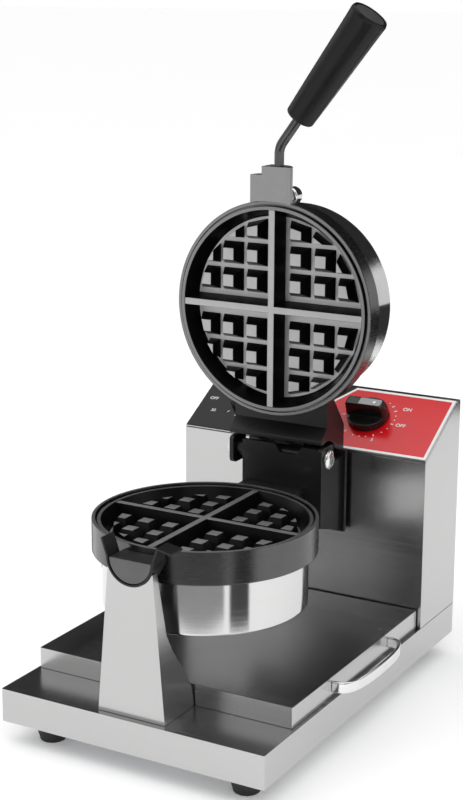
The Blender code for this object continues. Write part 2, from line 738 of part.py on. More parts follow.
class Half:
    """One half of the mould: maps (u, v, depth behind the face) to the machine frame."""

    def __init__(self, side):
        self.lower = side == "lower"
        if self.lower:
            self.centre = Vector((0, PAN_FROM_FRONT, FACE_HEIGHT))
            self.up = Vector((0, 1, 0))
            self.inward = Vector((0, 0, -1))
        else:
            self.centre = Vector((0, LID_FACE, LID_CENTRE))
            self.up = Vector((0, 0, 1))
            self.inward = Vector((0, 1, 0))

    def point(self, u, v, depth):
        return self.centre + Vector((u, 0, 0)) + self.up * v + self.inward * depth

    def slab(self, name, levels):
        """A body lofted through (outline, depth) levels with equal point counts."""
        count = len(levels[0][0])
        points = [self.point(u, v, depth) for outline, depth in levels for u, v in outline]
        last = len(points) - count
        faces = [list(range(count)), list(range(last, last + count))]
        for k in range(len(levels) - 1):
            for i in range(count):
                j = (i + 1) % count
                a, b = k * count, (k + 1) * count
                faces.append([a + i, a + j, b + j, b + i])
        return add_object(name, points, faces, None)


def peg_levels(cx, cy):
    """The levels of one peg, clipped where the mould's wall cuts it, or None where none fits."""
    h = PEG_HALF
    square = [(cx - h, cy - h), (cx + h, cy - h), (cx + h, cy + h), (cx - h, cy + h)]
    foot = clip_to_circle(square, MOULD_FLOOR_RADIUS - 2.6)
    if len(foot) < 3:
        return None
    area, (mx, my) = area_and_middle(foot)
    if area < 60:
        return None
    top = [(mx + (x - mx) * PEG_TAPER, my + (y - my) * PEG_TAPER) for x, y in foot]
    return [(foot, MOULD_DEPTH + 1.2), (foot, MOULD_DEPTH - 0.4), (top, MOULD_DEPTH - PEG_HEIGHT)]


def make_plate(side, looks):
    half = Half(side)
    ring_depth = LOWER_RING_DEPTH if half.lower else UPPER_RING_DEPTH
    under = MOULD_DEPTH + PLATE_FLOOR
    if half.lower:
        rim = [(RING_RADIUS, -LIP_HEIGHT), (STEP_RADIUS + 0.2, -LIP_HEIGHT)]
        rim += [(STEP_RADIUS + 0.2, 0)]
    else:
        rim = [(RING_RADIUS, LIP_HEIGHT + TOUCH), (STEP_RADIUS - 0.2, LIP_HEIGHT + TOUCH)]
        rim += [(STEP_RADIUS - 0.2, 0)]
    pocket = LOWER_BAND_RADIUS + 4.2
    profile = [(RING_RADIUS, ring_depth)] + rim + [(MOULD_RADIUS, 0)]
    profile += [(MOULD_FLOOR_RADIUS, MOULD_DEPTH), (0, MOULD_DEPTH), (0, under)]
    profile += [(pocket, under), (pocket, ring_depth)]
    look = looks["nonstick"]
    name = side + "_plate"
    plate = lathe(name, profile, half.centre, half.inward, look, LARGE_ROUND)
    reach = MOULD_RADIUS + 2.0
    for lengthwise in (True, False):
        levels = []
        for wide, depth in ((BAR_HALF, 0.4), (BAR_FOOT, MOULD_DEPTH + 1.0)):
            corners = [(-wide, -reach), (wide, -reach), (wide, reach), (-wide, reach)]
            if not lengthwise:
                corners = [(y, -x) for x, y in corners]
            levels.append((corners, depth))
        join(plate, half.slab("bar", levels))
    for i in range(3):
        for j in range(3):
            for sx in (-1, 1):
                for sy in (-1, 1):
                    cx = sx * (PEG_FIRST + PEG_PITCH * i)
                    cy = sy * (PEG_FIRST + PEG_PITCH * j)
                    levels = peg_levels(cx, cy)
                    if levels:
                        join(plate, half.slab("peg", levels))
    return plate


def make_casing(side, looks):
    """The steel band round the half, its back cover, the heating element and the centre nut."""
    half = Half(side)
    radius = LOWER_BAND_RADIUS if half.lower else UPPER_BAND_RADIUS
    depth = LOWER_DEPTH if half.lower else UPPER_DEPTH
    start = MOULD_DEPTH + PLATE_FLOOR + TOUCH
    wall = BAND_WALL
    flange = radius - 12.0
    profile = [(radius, start), (radius, depth - 2.6), (radius - 2.6, depth), (flange, depth)]
    profile += [(flange, depth - wall), (radius - wall, depth - wall), (radius - wall, start)]
    lathe(side + "_casing", profile, half.centre, half.inward, looks["steel"], LARGE_ROUND)
    back = depth - wall - TOUCH
    outer = radius - wall - 3.0
    profile = [(5.3, back), (outer, back), (outer, back - wall), (5.3, back - wall)]
    lathe(side + "_cover", profile, half.centre, half.inward, looks["galvanised"])
    profile = [(0, back - 12), (5.0, back - 12), (5.0, back + TOUCH), (9.0, back + TOUCH)]
    profile += [(9.0, back + 3.2), (6.5, back + 5.0), (0, back + 5.0)]
    lathe(side + "_cover_nut", profile, half.centre, half.inward, looks["chrome"], TINY_ROUND)
    profile = [(50, start + 1), (50, start + 9), (64, start + 9), (64, start + 1)]
    lathe(side + "_element", profile, half.centre, half.inward, looks["iron"])


def make_lower_trunnion(looks):
    top = FLIP_HEIGHT - TRUNNION_SPLIT
    outline = arc((0, FLIP_HEIGHT), TRUNNION_RADIUS, 180, 360, 28)
    outline = [(x, min(z, top)) for x, z in outline]
    start = POST_FRONT - 0.2
    body = prism("lower_trunnion", outline, "y", start, PAN_FROM_FRONT, looks["iron"])
    reach = RING_RADIUS + TOUCH
    centre = (0, PAN_FROM_FRONT, 0)
    cut(body, cylinder("ring", reach, 50, 300, centre, (0, 0, 1), None, LARGE_ROUND))
    return body


def make_upper_trunnion(looks):
    """The half disc on the lid, with the longer boss that carries the handle."""
    flat = LID_FLIP + TRUNNION_SPLIT
    outline = arc((0, LID_FLIP), TRUNNION_RADIUS, 180, 0, 28)
    outline = [(x, max(y, flat)) for x, y in outline]
    top = LID_CENTRE + RING_RADIUS
    body = prism("upper_trunnion", outline, "z", LID_CENTRE + 60, top + TAB_LONG, looks["iron"])
    low = (-TRUNNION_RADIUS - 5, flat - 5, top + TAB_WIDE)
    high = (-TAB_STEP, flat + TRUNNION_RADIUS + 5, top + TAB_LONG + 5)
    cut(body, box("step", low, high))
    reach = RING_RADIUS + TOUCH
    centre = (0, flat, LID_CENTRE)
    cut(body, cylinder("ring", reach, -30, 60, centre, (0, 1, 0), None, LARGE_ROUND))
    return body


def make_lid_arm(looks):
    """The black block behind the lid, with the knuckle that turns on the hinge bolt."""
    y, z = HINGE_FROM_FRONT, HINGE_HEIGHT
    clear = math.hypot(EAR_REACH, WALL_ABOVE_HINGE) + 0.5
    ring_back = LID_FACE + UPPER_RING_DEPTH
    front, low = y - EAR_REACH - 0.4, z + clear - 1.4
    start = 180 - math.degrees(math.asin((low - z) / clear))
    outline = [(front, low)] + arc((y, z), clear, start, 25, 10)
    outline += [(y + 29, z + ARM_ABOVE_STOP), (BRACKET_BACK - 1, z + ARM_ABOVE_STOP)]
    outline += [(BRACKET_BACK - 1, z + 25.6), (ring_back + 14.5, z + 53.6)]
    outline += [(ring_back + 1.3, z + 53.6), (ring_back + 1.3, z + 29.5), (front, z + 19.0)]
    arm = prism("lid_arm", outline, "x", -BRACKET_HALF + 0.2, BRACKET_HALF - 0.2, looks["black"])
    inner = BRACKET_HALF - BRACKET_PLATE - 0.6
    hinge = (0, y, z)
    knuckle = cylinder("knuckle", KNUCKLE_RADIUS, -inner, inner, hinge, (1, 0, 0), None, SMALL_ROUND)
    web_low = (NOTCH_LEFT + 1.5, y + NOTCH_ABOVE_HINGE + 0.6, z - 1)
    web_high = (NOTCH_RIGHT - 1.5, y + EAR_REACH, z + clear + 2)
    join(arm, join(knuckle, box("web", web_low, web_high)))
    bore = HINGE_PIN_RADIUS + RUNNING
    cut(arm, cylinder("bore", bore, -60, 60, hinge, (1, 0, 0), None, SMALL_ROUND))
    centre = (0, ring_back + 0.5, LID_CENTRE)
    cut(arm, cylinder("band", UPPER_BAND_RADIUS + TOUCH, 0, 60, centre, (0, 1, 0), None, LARGE_ROUND))
    return arm


# ---------------------------------------------------------------- handle

def make_handle(looks):
    flat = LID_FLIP + TRUNNION_SPLIT
    foot = Vector((HANDLE_X, flat + ROD_BEHIND_FLAT, LID_CENTRE + RING_RADIUS + TAB_LONG + TOUCH))
    bend = foot + Vector((0, 0, ROD_RISE))
    lean = math.radians(HANDLE_LEAN)
    along = Vector((math.sin(lean), 0, math.cos(lean)))
    grip_low = bend + along * GRIP_START
    turn = 6.0
    path = [foot, foot + Vector((0, 0, ROD_RISE - turn))]
    for i in range(1, 6):
        t = i / 6
        a = bend - Vector((0, 0, turn))
        c = bend + along * turn
        path.append(a * (1 - t) ** 2 + bend * 2 * t * (1 - t) + c * t**2)
    path += [bend + along * turn, grip_low + along * (ROD_IN_GRIP - 2)]
    section = []
    for i in range(TINY_ROUND):
        angle = 2 * math.pi * i / TINY_ROUND
        section.append((ROD_RADIUS * math.cos(angle), ROD_RADIUS * math.sin(angle)))
    rod = sweep("handle_rod", path, section, (0, 1, 0), looks["steel"])
    bore = ROD_RADIUS + TOUCH
    low, top = GRIP_LOW_RADIUS, GRIP_TOP_RADIUS
    taper = (top - low) / GRIP_LENGTH
    profile = [(bore, 0), (low - 3.2, 0), (low - 0.9, 0.9), (low, 3.2)]
    profile += [(low + taper * 40, 40), (top, GRIP_LENGTH - 2.4), (top - 0.6, GRIP_LENGTH - 0.6)]
    profile += [(top - 2.0, GRIP_LENGTH), (top - 2.8, GRIP_LENGTH), (top - 2.8, GRIP_LENGTH - 2.6)]
    profile += [(0, GRIP_LENGTH - 2.6), (0, ROD_IN_GRIP), (bore, ROD_IN_GRIP)]
    grip = lathe("grip", profile, grip_low, along, looks["black"])
    cap = top - 2.8 - TOUCH
    profile = [(0, GRIP_LENGTH - 2.3), (cap, GRIP_LENGTH - 2.3), (cap, GRIP_LENGTH - 0.5)]
    profile += [(0, GRIP_LENGTH - 0.5)]
    end = lathe("grip_cap", profile, grip_low, along, looks["black"])
    return rod, grip, end


def make_lid_stud(looks):
    """A bright round stud with a dimple, behind the upper trunnion."""
    height = LID_CENTRE + UPPER_BAND_RADIUS + TOUCH + 8.0
    centre = (0, LID_FACE + 32.0, height)
    profile = [(0, 2.4), (4.2, 2.4), (4.2, 0), (6.6, 0), (8.0, 1.4), (8.0, 11.0), (7.0, 12.0)]
    profile += [(0, 12.0)]
    return lathe("lid_stud", profile, centre, (0, 1, 0), looks["chrome"], SMALL_ROUND)


# ---------------------------------------------------------------- assembly

def set_origins():
    """Puts the origin of each moving piece on its joint's axis."""
    hinge = (0, HINGE_FROM_FRONT, HINGE_HEIGHT)
    flip = (0, PAN_FROM_FRONT, FLIP_HEIGHT)
    low, high = tray_limits()
    tray = (0, (low[1] + high[1]) / 2, low[2])
    thermostat = on_panel(THERMOSTAT_X, THERMOSTAT_UP_PANEL, 0)
    timer = on_panel(TIMER_X, TIMER_UP_PANEL, 0)
    lid = ["lid_arm", "upper_plate", "upper_casing", "upper_cover", "upper_cover_nut"]
    lid += ["upper_element", "upper_trunnion", "handle_rod", "grip", "grip_cap", "lid_stud"]
    head = ["rotor_bracket", "flip_shaft", "shaft_collar", "hinge_bolt", "hinge_nut", "pan_arm"]
    head += ["lower_plate", "lower_casing", "lower_cover", "lower_cover_nut", "lower_element"]
    head += ["lower_trunnion"]
    groups = {
        hinge: lid,
        flip: head,
        tray: ["drip_tray", "tray_handle"],
        thermostat: ["thermostat_knob", "thermostat_shaft"],
        timer: ["timer_knob", "timer_shaft"],
    }
    for place, names in groups.items():
        point = Vector(place) * MM
        for name in names:
            thing = bpy.data.objects[name]
            thing.data.transform(Matrix.Translation(-point))
            thing.location = point


def centre_over_origin():
    """Moves every piece so that the machine's box stands centred on the origin."""
    bpy.context.view_layer.update()
    corners = []
    for thing in bpy.context.scene.objects:
        corners += [thing.matrix_world @ vertex.co for vertex in thing.data.vertices]
    shift = Vector((
        (min(c.x for c in corners) + max(c.x for c in corners)) / 2,
        (min(c.y for c in corners) + max(c.y for c in corners)) / 2,
        min(c.z for c in corners),
    ))
    for thing in bpy.context.scene.objects:
        thing.location -= shift
    return shift


def shade():
    """Smooth round faces, with the hard edges kept."""
    for thing in bpy.context.scene.objects:
        thing.data.shade_smooth()
        thing.data.set_sharp_from_angle(angle=math.radians(35))


def main():
    for thing in list(bpy.data.objects):
        bpy.data.objects.remove(thing)
    bpy.context.scene.unit_settings.scale_length = 1.0
    looks = {
        "steel": material("Brushed steel", (0.62, 0.62, 0.60), 1.0, 0.28),
        "galvanised": material("Galvanised sheet", (0.50, 0.51, 0.52), 1.0, 0.45),
        "chrome": material("Chrome", (0.80, 0.80, 0.80), 1.0, 0.08),
        "iron": material("Cast grey metal", (0.16, 0.16, 0.17), 1.0, 0.42),
        "nonstick": material("Nonstick casting", (0.06, 0.06, 0.065), 0.6, 0.38),
        "black": material("Black plastic", (0.02, 0.02, 0.021), 0.0, 0.32),
        "red": material("Red label", (0.66, 0.02, 0.03), 0.0, 0.30),
        "rubber": material("Rubber", (0.015, 0.015, 0.015), 0.0, 0.75),
        "brass": material("Brass", (0.72, 0.52, 0.24), 1.0, 0.30),
    }
    make_base(looks)
    make_tray(looks)
    make_post(looks)
    make_cradle(looks)
    make_housing(looks)
    make_panel(looks)
    make_controls(looks)
    make_rear(looks)
    for name, (x, up) in knob_places().items():
        make_knob(name + "_knob", x, up, looks)
    make_bearing(looks)
    make_bracket(looks)
    make_hinge(looks)
    make_pan_arm(looks)
    for side in ("lower", "upper"):
        make_plate(side, looks)
        make_casing(side, looks)
    make_lower_trunnion(looks)
    make_upper_trunnion(looks)
    make_lid_arm(looks)
    make_handle(looks)
    make_lid_stud(looks)
    set_origins()
    shade()
    shift = centre_over_origin()
    print("moved by (mm)", [round(v / MM, 3) for v in shift])


main()
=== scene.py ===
import math

import bmesh
import bpy
from mathutils import Matrix, Vector


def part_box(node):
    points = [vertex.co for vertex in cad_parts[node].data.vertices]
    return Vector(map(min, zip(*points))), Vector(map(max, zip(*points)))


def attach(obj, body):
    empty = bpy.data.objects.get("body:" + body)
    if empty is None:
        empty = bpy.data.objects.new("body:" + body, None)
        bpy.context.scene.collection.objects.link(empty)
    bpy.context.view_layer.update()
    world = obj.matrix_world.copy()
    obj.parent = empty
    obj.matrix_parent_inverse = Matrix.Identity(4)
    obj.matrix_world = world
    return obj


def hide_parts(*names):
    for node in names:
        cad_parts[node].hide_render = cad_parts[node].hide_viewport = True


# Looks for the rotary waffle maker. Lengths here are in millimetres, measured from the middle
# of the base pan's front edge at table height: x to the right, y to the back, z up.

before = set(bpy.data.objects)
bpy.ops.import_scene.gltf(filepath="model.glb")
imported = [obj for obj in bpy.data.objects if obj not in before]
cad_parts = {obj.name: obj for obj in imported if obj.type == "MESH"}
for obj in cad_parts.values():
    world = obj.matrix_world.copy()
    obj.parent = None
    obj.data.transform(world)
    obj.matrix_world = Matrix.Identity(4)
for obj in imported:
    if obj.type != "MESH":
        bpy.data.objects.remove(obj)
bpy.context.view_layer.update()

MM = 0.001
RIGHT = Vector((1, 0, 0))
BACK = Vector((0, 1, 0))
UP = Vector((0, 0, 1))
PAN_LOW, PAN_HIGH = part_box("base_pan")
FRONT_MIDDLE = Vector(((PAN_LOW.x + PAN_HIGH.x) / 2, PAN_LOW.y, 0.0))


def at(x, y, z):
    return FRONT_MIDDLE + Vector((x, y, z)) * MM


def middle(node):
    low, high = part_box(node)
    return (low + high) / 2


# ---------------------------------------------------------------- modelling

def rest():
    """Leaves edit mode with nothing selected."""
    if bpy.context.mode != "OBJECT":
        bpy.ops.object.mode_set(mode="OBJECT")
    bpy.ops.object.select_all(action="DESELECT")


def pick(piece):
    rest()
    piece.select_set(True)
    bpy.context.view_layer.objects.active = piece


def begin(name):
    """Names the primitive just added and puts its place in its mesh."""
    piece = bpy.context.object
    piece.name = name
    piece.data.name = name
    bpy.ops.object.transform_apply()
    return piece


def start_line(name, place):
    """A mesh of one vertex, left selected in edit mode."""
    rest()
    bpy.ops.mesh.primitive_plane_add(size=MM, location=place)
    piece = begin(name)
    bpy.ops.object.mode_set(mode="EDIT")
    bpy.ops.mesh.select_mode(type="VERT")
    bpy.ops.mesh.select_all(action="SELECT")
    bpy.ops.mesh.merge(type="CENTER")
    return piece


def draw_line(points):
    for before, after in zip(points, points[1:]):
        bpy.ops.mesh.extrude_vertices_move(TRANSFORM_OT_translate={"value": after - before})


def close_up(piece):
    """Merges doubles and turns every face outwards."""
    bpy.ops.mesh.select_all(action="SELECT")
    bpy.ops.mesh.remove_doubles(threshold=2e-6)
    bpy.ops.mesh.normals_make_consistent(inside=False)
    bpy.ops.object.mode_set(mode="OBJECT")
    return piece


def turned(name, profile, centre, axis, sides=96):
    """A profile of (radius, height) drawn as a line and spun about an axis."""
    along = Vector(axis).normalized()
    out = along.orthogonal().normalized()
    line = [centre + (out * r + along * h) * MM for r, h in profile]
    piece = start_line(name, line[0])
    draw_line(line)
    bpy.ops.mesh.select_all(action="SELECT")
    bpy.ops.mesh.spin(steps=sides, angle=math.tau, center=centre, axis=along)
    return close_up(piece)


def plate(name, outline, thickness):
    """A closed outline of points, filled and extruded by a vector."""
    piece = start_line(name, outline[0])
    draw_line(outline + outline[:1])
    bpy.ops.mesh.select_all(action="SELECT")
    bpy.ops.mesh.remove_doubles(threshold=2e-6)
    bpy.ops.mesh.edge_face_add()
    bpy.ops.mesh.extrude_region_move(TRANSFORM_OT_translate={"value": thickness})
    return close_up(piece)


def block(name, low, high):
    rest()
    bpy.ops.mesh.primitive_cube_add(size=1, location=(low + high) / 2, scale=high - low)
    return begin(name)


def choose(piece, test):
    """Selects the faces whose middle and normal pass a test, in edit mode."""
    pick(piece)
    bpy.ops.object.mode_set(mode="EDIT")
    bpy.ops.mesh.select_mode(type="FACE")
    bpy.ops.mesh.select_all(action="DESELECT")
    work = bmesh.from_edit_mesh(piece.data)
    for face in work.faces:
        face.select_set(bool(test(face.calc_center_median(), face.normal)))
    bmesh.update_edit_mesh(piece.data)


def tub(name, low, high, wall, corner, opening):
    """A folded sheet tub: a block with rounded corners, hollowed from its open side."""
    piece = block(name, low, high)
    choose(piece, lambda centre, normal: abs(normal.z) < 0.5)
    bpy.ops.mesh.select_mode(type="EDGE")
    work = bmesh.from_edit_mesh(piece.data)
    for edge in work.edges:
        a, b = edge.verts
        edge.select_set(abs(a.co.z - b.co.z) > MM)
    bmesh.update_edit_mesh(piece.data)
    bpy.ops.mesh.bevel(offset=corner * MM, segments=4)
    choose(piece, lambda centre, normal: normal.z * opening > 0.9)
    bpy.ops.mesh.inset(thickness=wall * MM)
    depth = (high.z - low.z) - wall * MM
    move = UP * (-opening * depth)
    bpy.ops.mesh.extrude_region_move(TRANSFORM_OT_translate={"value": move})
    return close_up(piece)


def soften(piece, width, segments=2, angle=30.0, clamp=True):
    """Rounds the hard edges by a width, and smooths the faces between them."""
    pick(piece)
    if width:
        change = piece.modifiers.new("Edges", "BEVEL")
        change.width = width * MM
        change.segments = segments
        change.limit_method = "ANGLE"
        change.angle_limit = math.radians(angle)
        change.use_clamp_overlap = clamp
        bpy.ops.object.modifier_apply(modifier=change.name)
    bpy.ops.object.shade_smooth_by_angle(angle=math.radians(35))
    change = piece.modifiers.new("Flats", "WEIGHTED_NORMAL")
    change.keep_sharp = True
    bpy.ops.object.modifier_apply(modifier=change.name)
    return piece


def carve(piece, tool):
    pick(piece)
    change = piece.modifiers.new("Cut", "BOOLEAN")
    change.operation = "DIFFERENCE"
    change.solver = "EXACT"
    change.object = tool
    bpy.ops.object.modifier_apply(modifier=change.name)
    bpy.data.objects.remove(tool)
    return piece


def copy_of(piece, name, matrix):
    """A copy with its own mesh, moved by a matrix."""
    pick(piece)
    bpy.ops.object.duplicate()
    made = bpy.context.object
    made.name = name
    made.data.name = name
    made.data.transform(matrix)
    return made


def joined(pieces, name):
    rest()
    for piece in pieces:
        piece.select_set(True)
    bpy.context.view_layer.objects.active = pieces[0]
    bpy.ops.object.join()
    pieces[0].name = name
    return pieces[0]


def from_cad(name, node, width, segments=2):
    """A copy of a CAD node with its flat faces made whole and its edges rounded."""
    rest()
    piece = bpy.data.objects.new(name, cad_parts[node].data.copy())
    bpy.context.scene.collection.objects.link(piece)
    pick(piece)
    bpy.ops.mesh.customdata_custom_splitnormals_clear()
    bpy.ops.object.mode_set(mode="EDIT")
    bpy.ops.mesh.select_all(action="SELECT")
    bpy.ops.mesh.remove_doubles(threshold=5e-6)
    bpy.ops.mesh.mark_sharp(clear=True)
    bpy.ops.mesh.dissolve_limited(angle_limit=math.radians(0.4))
    bpy.ops.object.mode_set(mode="OBJECT")
    return soften(piece, width, segments, 32.0)


def tube(name, path, radius, sides=16, flat=0.0):
    """A bar along a path: round, or a flat strip with rounded edges where flat is given."""
    rest()
    bpy.ops.curve.primitive_nurbs_path_add()
    bar = bpy.context.object
    line = bar.data
    line.splines.clear()
    spline = line.splines.new("POLY")
    spline.points.add(len(path) - 1)
    for vertex, place in zip(spline.points, path):
        vertex.co = (*place, 1)
    line.dimensions = "3D"
    line.twist_mode = "Z_UP" if flat else "MINIMUM"
    line.bevel_depth = radius * MM
    line.extrude = flat * MM
    line.bevel_resolution = sides // 2 - 2
    line.use_fill_caps = True
    bpy.ops.object.convert(target="MESH")
    piece = begin(name)
    bpy.ops.object.mode_set(mode="EDIT")
    return close_up(piece)


def rounded(corners, steps=3):
    """A profile from (a, b) or (a, b, radius): a corner with a radius becomes a short arc."""
    line = []
    for i, corner in enumerate(corners):
        here = Vector(corner[:2])
        if len(corner) < 3 or i in (0, len(corners) - 1):
            line.append(tuple(here))
            continue
        before = Vector(corners[i - 1][:2]) - here
        after = Vector(corners[i + 1][:2]) - here
        reach = min(corner[2], before.length * 0.49, after.length * 0.49)
        a = here + before.normalized() * reach
        c = here + after.normalized() * reach
        for k in range(steps + 1):
            t = k / steps
            line.append(tuple(a * (1 - t) ** 2 + here * 2 * t * (1 - t) + c * t**2))
    return line


def place(piece, body, slot, looks, *nodes):
    """Gives a finished piece its finish and its body, and hides the CAD nodes it stands for. The slot is not
    used.
    """
    looks = looks if isinstance(looks, list) else [looks]
    if len(piece.data.materials) != len(looks):
        piece.data.materials.clear()
        for look in looks:
            piece.data.materials.append(look)
    for i, look in enumerate(looks):
        piece.data.materials[i] = look
    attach(piece, body)
    if nodes:
        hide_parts(*nodes)
    return piece


def finish_node(node, look):
    """A CAD node that stays, with a better finish."""
    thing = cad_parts[node]
    for holder in thing.material_slots:
        holder.material = look


# ---------------------------------------------------------------- finishes

class Value:
    """A shader socket whose operators add Math nodes."""

    def __init__(self, look, socket):
        self.look = look
        self.socket = socket

    def __add__(self, other):
        return self.look.maths_of("ADD", self, other)

    def __sub__(self, other):
        return self.look.maths_of("SUBTRACT", self, other)

    def __rsub__(self, other):
        return self.look.maths_of("SUBTRACT", other, self)

    def __mul__(self, other):
        return self.look.maths_of("MULTIPLY", self, other)

    __radd__ = __add__
    __rmul__ = __mul__


class Look:
    """One finish under construction: a Principled material and its nodes."""

    def __init__(self, name, colour, metallic, roughness):
        self.material = bpy.data.materials.new(name)
        self.material.use_nodes = True
        self.material.diffuse_color = (*colour, 1.0)
        self.tree = self.material.node_tree
        self.shader = self.tree.nodes["Principled BSDF"]
        self.feed("Base Color", (*colour, 1.0))
        self.feed("Metallic", metallic)
        self.feed("Roughness", roughness)
        self.places = self.node("TexCoord", output="Object")
        self.facing = self.node("TexCoord", output="Normal")

    def node(self, kind, settings=None, sockets=None, output=0):
        """Any node: first its settings, then the values or links of its sockets."""
        made = self.tree.nodes.new("ShaderNode" + kind)
        for key, value in (settings or {}).items():
            if key == "stops":
                self.set_stops(made.color_ramp, value)
            else:
                setattr(made, key, value)
        for key, value in (sockets or {}).items():
            self.link(made.inputs[key], value)
        return Value(self, made.outputs[output])

    def set_stops(self, ramp, stops):
        while len(ramp.elements) < len(stops):
            ramp.elements.new(0.5)
        for element, (where, level) in zip(ramp.elements, stops):
            element.position = where
            element.color = (level, level, level, 1.0)

    def link(self, socket, value):
        if isinstance(value, Value):
            self.tree.links.new(value.socket, socket)
        else:
            socket.default_value = value

    def feed(self, socket, value):
        self.link(self.shader.inputs[socket], value)

    def noise(self, stretch, detail=3.0, roughness=0.6, vector=None):
        """Noise with its own number of cells per metre along each axis."""
        vector = vector or self.places
        placed = self.node("Mapping", None, {"Vector": vector, "Scale": stretch})
        sockets = {"Vector": placed, "Scale": 1.0, "Detail": detail, "Roughness": roughness}
        return self.node("TexNoise", None, sockets)

    def step(self, value, low, high, out_low=0.0, out_high=1.0):
        """A smooth step of a value between two levels."""
        sockets = {1: low, 2: high, 3: out_low, 4: out_high, 0: value}
        return self.node("MapRange", {"interpolation_type": "SMOOTHSTEP"}, sockets)

    def axis(self, vector, letter):
        return self.node("SeparateXYZ", None, {0: vector}, letter)

    def size_of(self, value):
        return self.node("Math", {"operation": "ABSOLUTE"}, {0: value})

    def maths_of(self, operation, first, second):
        return self.node("Math", {"operation": operation}, {0: first, 1: second})

    def mix(self, factor, first, second):
        sockets = {0: factor, 6: (*first, 1.0) if isinstance(first, tuple) else first}
        sockets[7] = (*second, 1.0) if isinstance(second, tuple) else second
        return self.node("Mix", {"data_type": "RGBA"}, sockets, 2)

    def bump(self, height, strength, distance):
        sockets = {"Height": height, "Strength": strength, "Distance": distance * MM}
        self.feed("Normal", self.node("Bump", None, sockets, "Normal"))


def grey(level, tint=0.0):
    return (level * (1 + tint), level, level * (1 - tint))


def brushed_steel(name, tone, low, high, depth, quick, slow):
    """Sheet steel with a straight grain of some depth. quick and slow are the stretches on
    the faces that look forward or up, and on those that look to the side."""
    look = Look(name, grey(tone), 1.0, (low + high) / 2)
    side = look.step(look.size_of(look.axis(look.facing, "X")), 0.6, 0.8)
    forward_grain = look.noise(quick)
    side_grain = look.noise(slow)
    grain = forward_grain + (side_grain - forward_grain) * side
    cloud = look.noise((14, 14, 14), 2.0)
    stain = look.noise((70, 70, 70), 4.0)
    marks = look.step(stain, 0.62, 0.72)
    look.feed("Base Color", look.mix(grain, grey(tone * 0.93), grey(tone * 1.06, 0.004)))
    look.feed("Roughness", grain * (high - low) + low + (cloud - 0.5) * 0.08 + marks * 0.03)
    look.bump(grain, depth, 0.12)
    return look.material


def sheet_steel():
    """Galvanised sheet, with its dull spangle."""
    look = Look("Galvanised sheet", grey(0.5), 1.0, 0.42)
    cells = look.node("TexVoronoi", None, {"Vector": look.places, "Scale": 160.0}, "Color")
    level = look.node("RGBToBW", None, {0: cells})
    soft = look.noise((40, 40, 40))
    look.feed("Base Color", look.mix(level, (0.42, 0.43, 0.45), (0.56, 0.57, 0.58)))
    look.feed("Roughness", level * 0.16 + soft * 0.1 + 0.32)
    look.bump(soft + level * 0.3, 0.1, 0.1)
    return look.material


def cast_metal(name, tone, dark, light, rough, depth):
    """A casting with a satin skin and a sandy surface, between two greys."""
    look = Look(name, grey(tone), 1.0, rough)
    sand = look.noise((900, 900, 900), 4.0)
    cloud = look.noise((45, 45, 45), 3.0)
    look.feed("Base Color", look.mix(cloud, grey(dark), grey(light)))
    look.feed("Roughness", sand * 0.16 + cloud * 0.12 + rough)
    look.bump(sand, depth, 0.08)
    return look.material


def plate_metal(letter, centre):
    """Mould casting: the faces along one axis carry a painted highlight, less bright on the rim, and the
    sides carry painted shade. centre is a point on the mould's axis."""
    look = Look("Mould casting " + letter.lower(), grey(0.2), 0.85, 0.35)
    # Painted light mask: 1 on faces that look along the axis, 0 on the side walls
    flat = look.step(look.size_of(look.axis(look.facing, letter)), 0.86, 0.97)
    sand = look.noise((1100, 1100, 1100), 3.0)
    cloud = look.noise((60, 60, 60), 3.0)
    # Painted shade: near-black colour for the side walls of the pegs, channels and rim
    dark = look.mix(cloud, grey(0.006), grey(0.014))
    # Painted highlight: pale colour for the peg tops and channel floors
    painted_highlight = look.mix(cloud, grey(0.42), grey(0.54))
    offset = look.node("VectorMath", {"operation": "SUBTRACT"}, {0: look.places, 1: centre})
    across = (1, 0, 1) if letter == "Y" else (1, 1, 0)
    offset = look.node("VectorMath", {"operation": "MULTIPLY"}, {0: offset, 1: across})
    distance = look.node("VectorMath", {"operation": "LENGTH"}, {0: offset}, "Value")
    rim = look.step(distance, (MOULD - 0.6) * MM, (MOULD + 0.4) * MM)
    # The painted highlight is a duller grey on the rim
    bright = look.mix(rim, painted_highlight, look.mix(cloud, grey(0.22), grey(0.30)))
    # Faces along the axis take the painted highlight, side faces the painted shade
    look.feed("Base Color", look.mix(flat, dark, bright))
    look.feed("Specular IOR Level", 0.3)
    look.feed("Metallic", flat * 0.2 + 0.75)
    look.feed("Roughness", flat * 0.16 + sand * 0.10 + cloud * 0.10 + 0.20)
    look.bump(sand + cloud * 0.5, 0.18, 0.06)
    return look.material


def ring_metal():
    """The outside of the mould rings: dark satin metal turned on a lathe."""
    look = Look("Turned dark metal", grey(0.16), 1.0, 0.3)
    cloud = look.noise((30, 30, 30), 3.0)
    lines = look.noise((60, 60, 1400), 2.0)
    look.feed("Base Color", look.mix(cloud, grey(0.09), grey(0.13)))
    look.feed("Roughness", lines * 0.12 + cloud * 0.08 + 0.16)
    look.bump(lines, 0.12, 0.08)
    return look.material


def coated_steel():
    """Sheet steel with a thin black satin coat, rubbed a little lighter in places."""
    look = Look("Black coated steel", grey(0.03), 0.0, 0.35)
    peel = look.noise((500, 500, 500), 3.0)
    rub = look.step(look.noise((60, 60, 60), 5.0), 0.56, 0.74)
    look.feed("Base Color", look.mix(rub, grey(0.008), grey(0.018)))
    look.feed("Roughness", peel * 0.12 + rub * 0.12 + 0.24)
    look.feed("Specular IOR Level", 0.35)
    look.bump(peel, 0.12, 0.08)
    return look.material


def chrome():
    look = Look("Chrome plate", grey(0.78), 1.0, 0.06)
    smear = look.noise((90, 90, 90), 4.0)
    fine = look.noise((600, 600, 600), 2.0)
    look.feed("Base Color", look.mix(smear, grey(0.70), grey(0.84)))
    look.feed("Roughness", smear * 0.09 + 0.03)
    look.bump(fine, 0.03, 0.05)
    return look.material


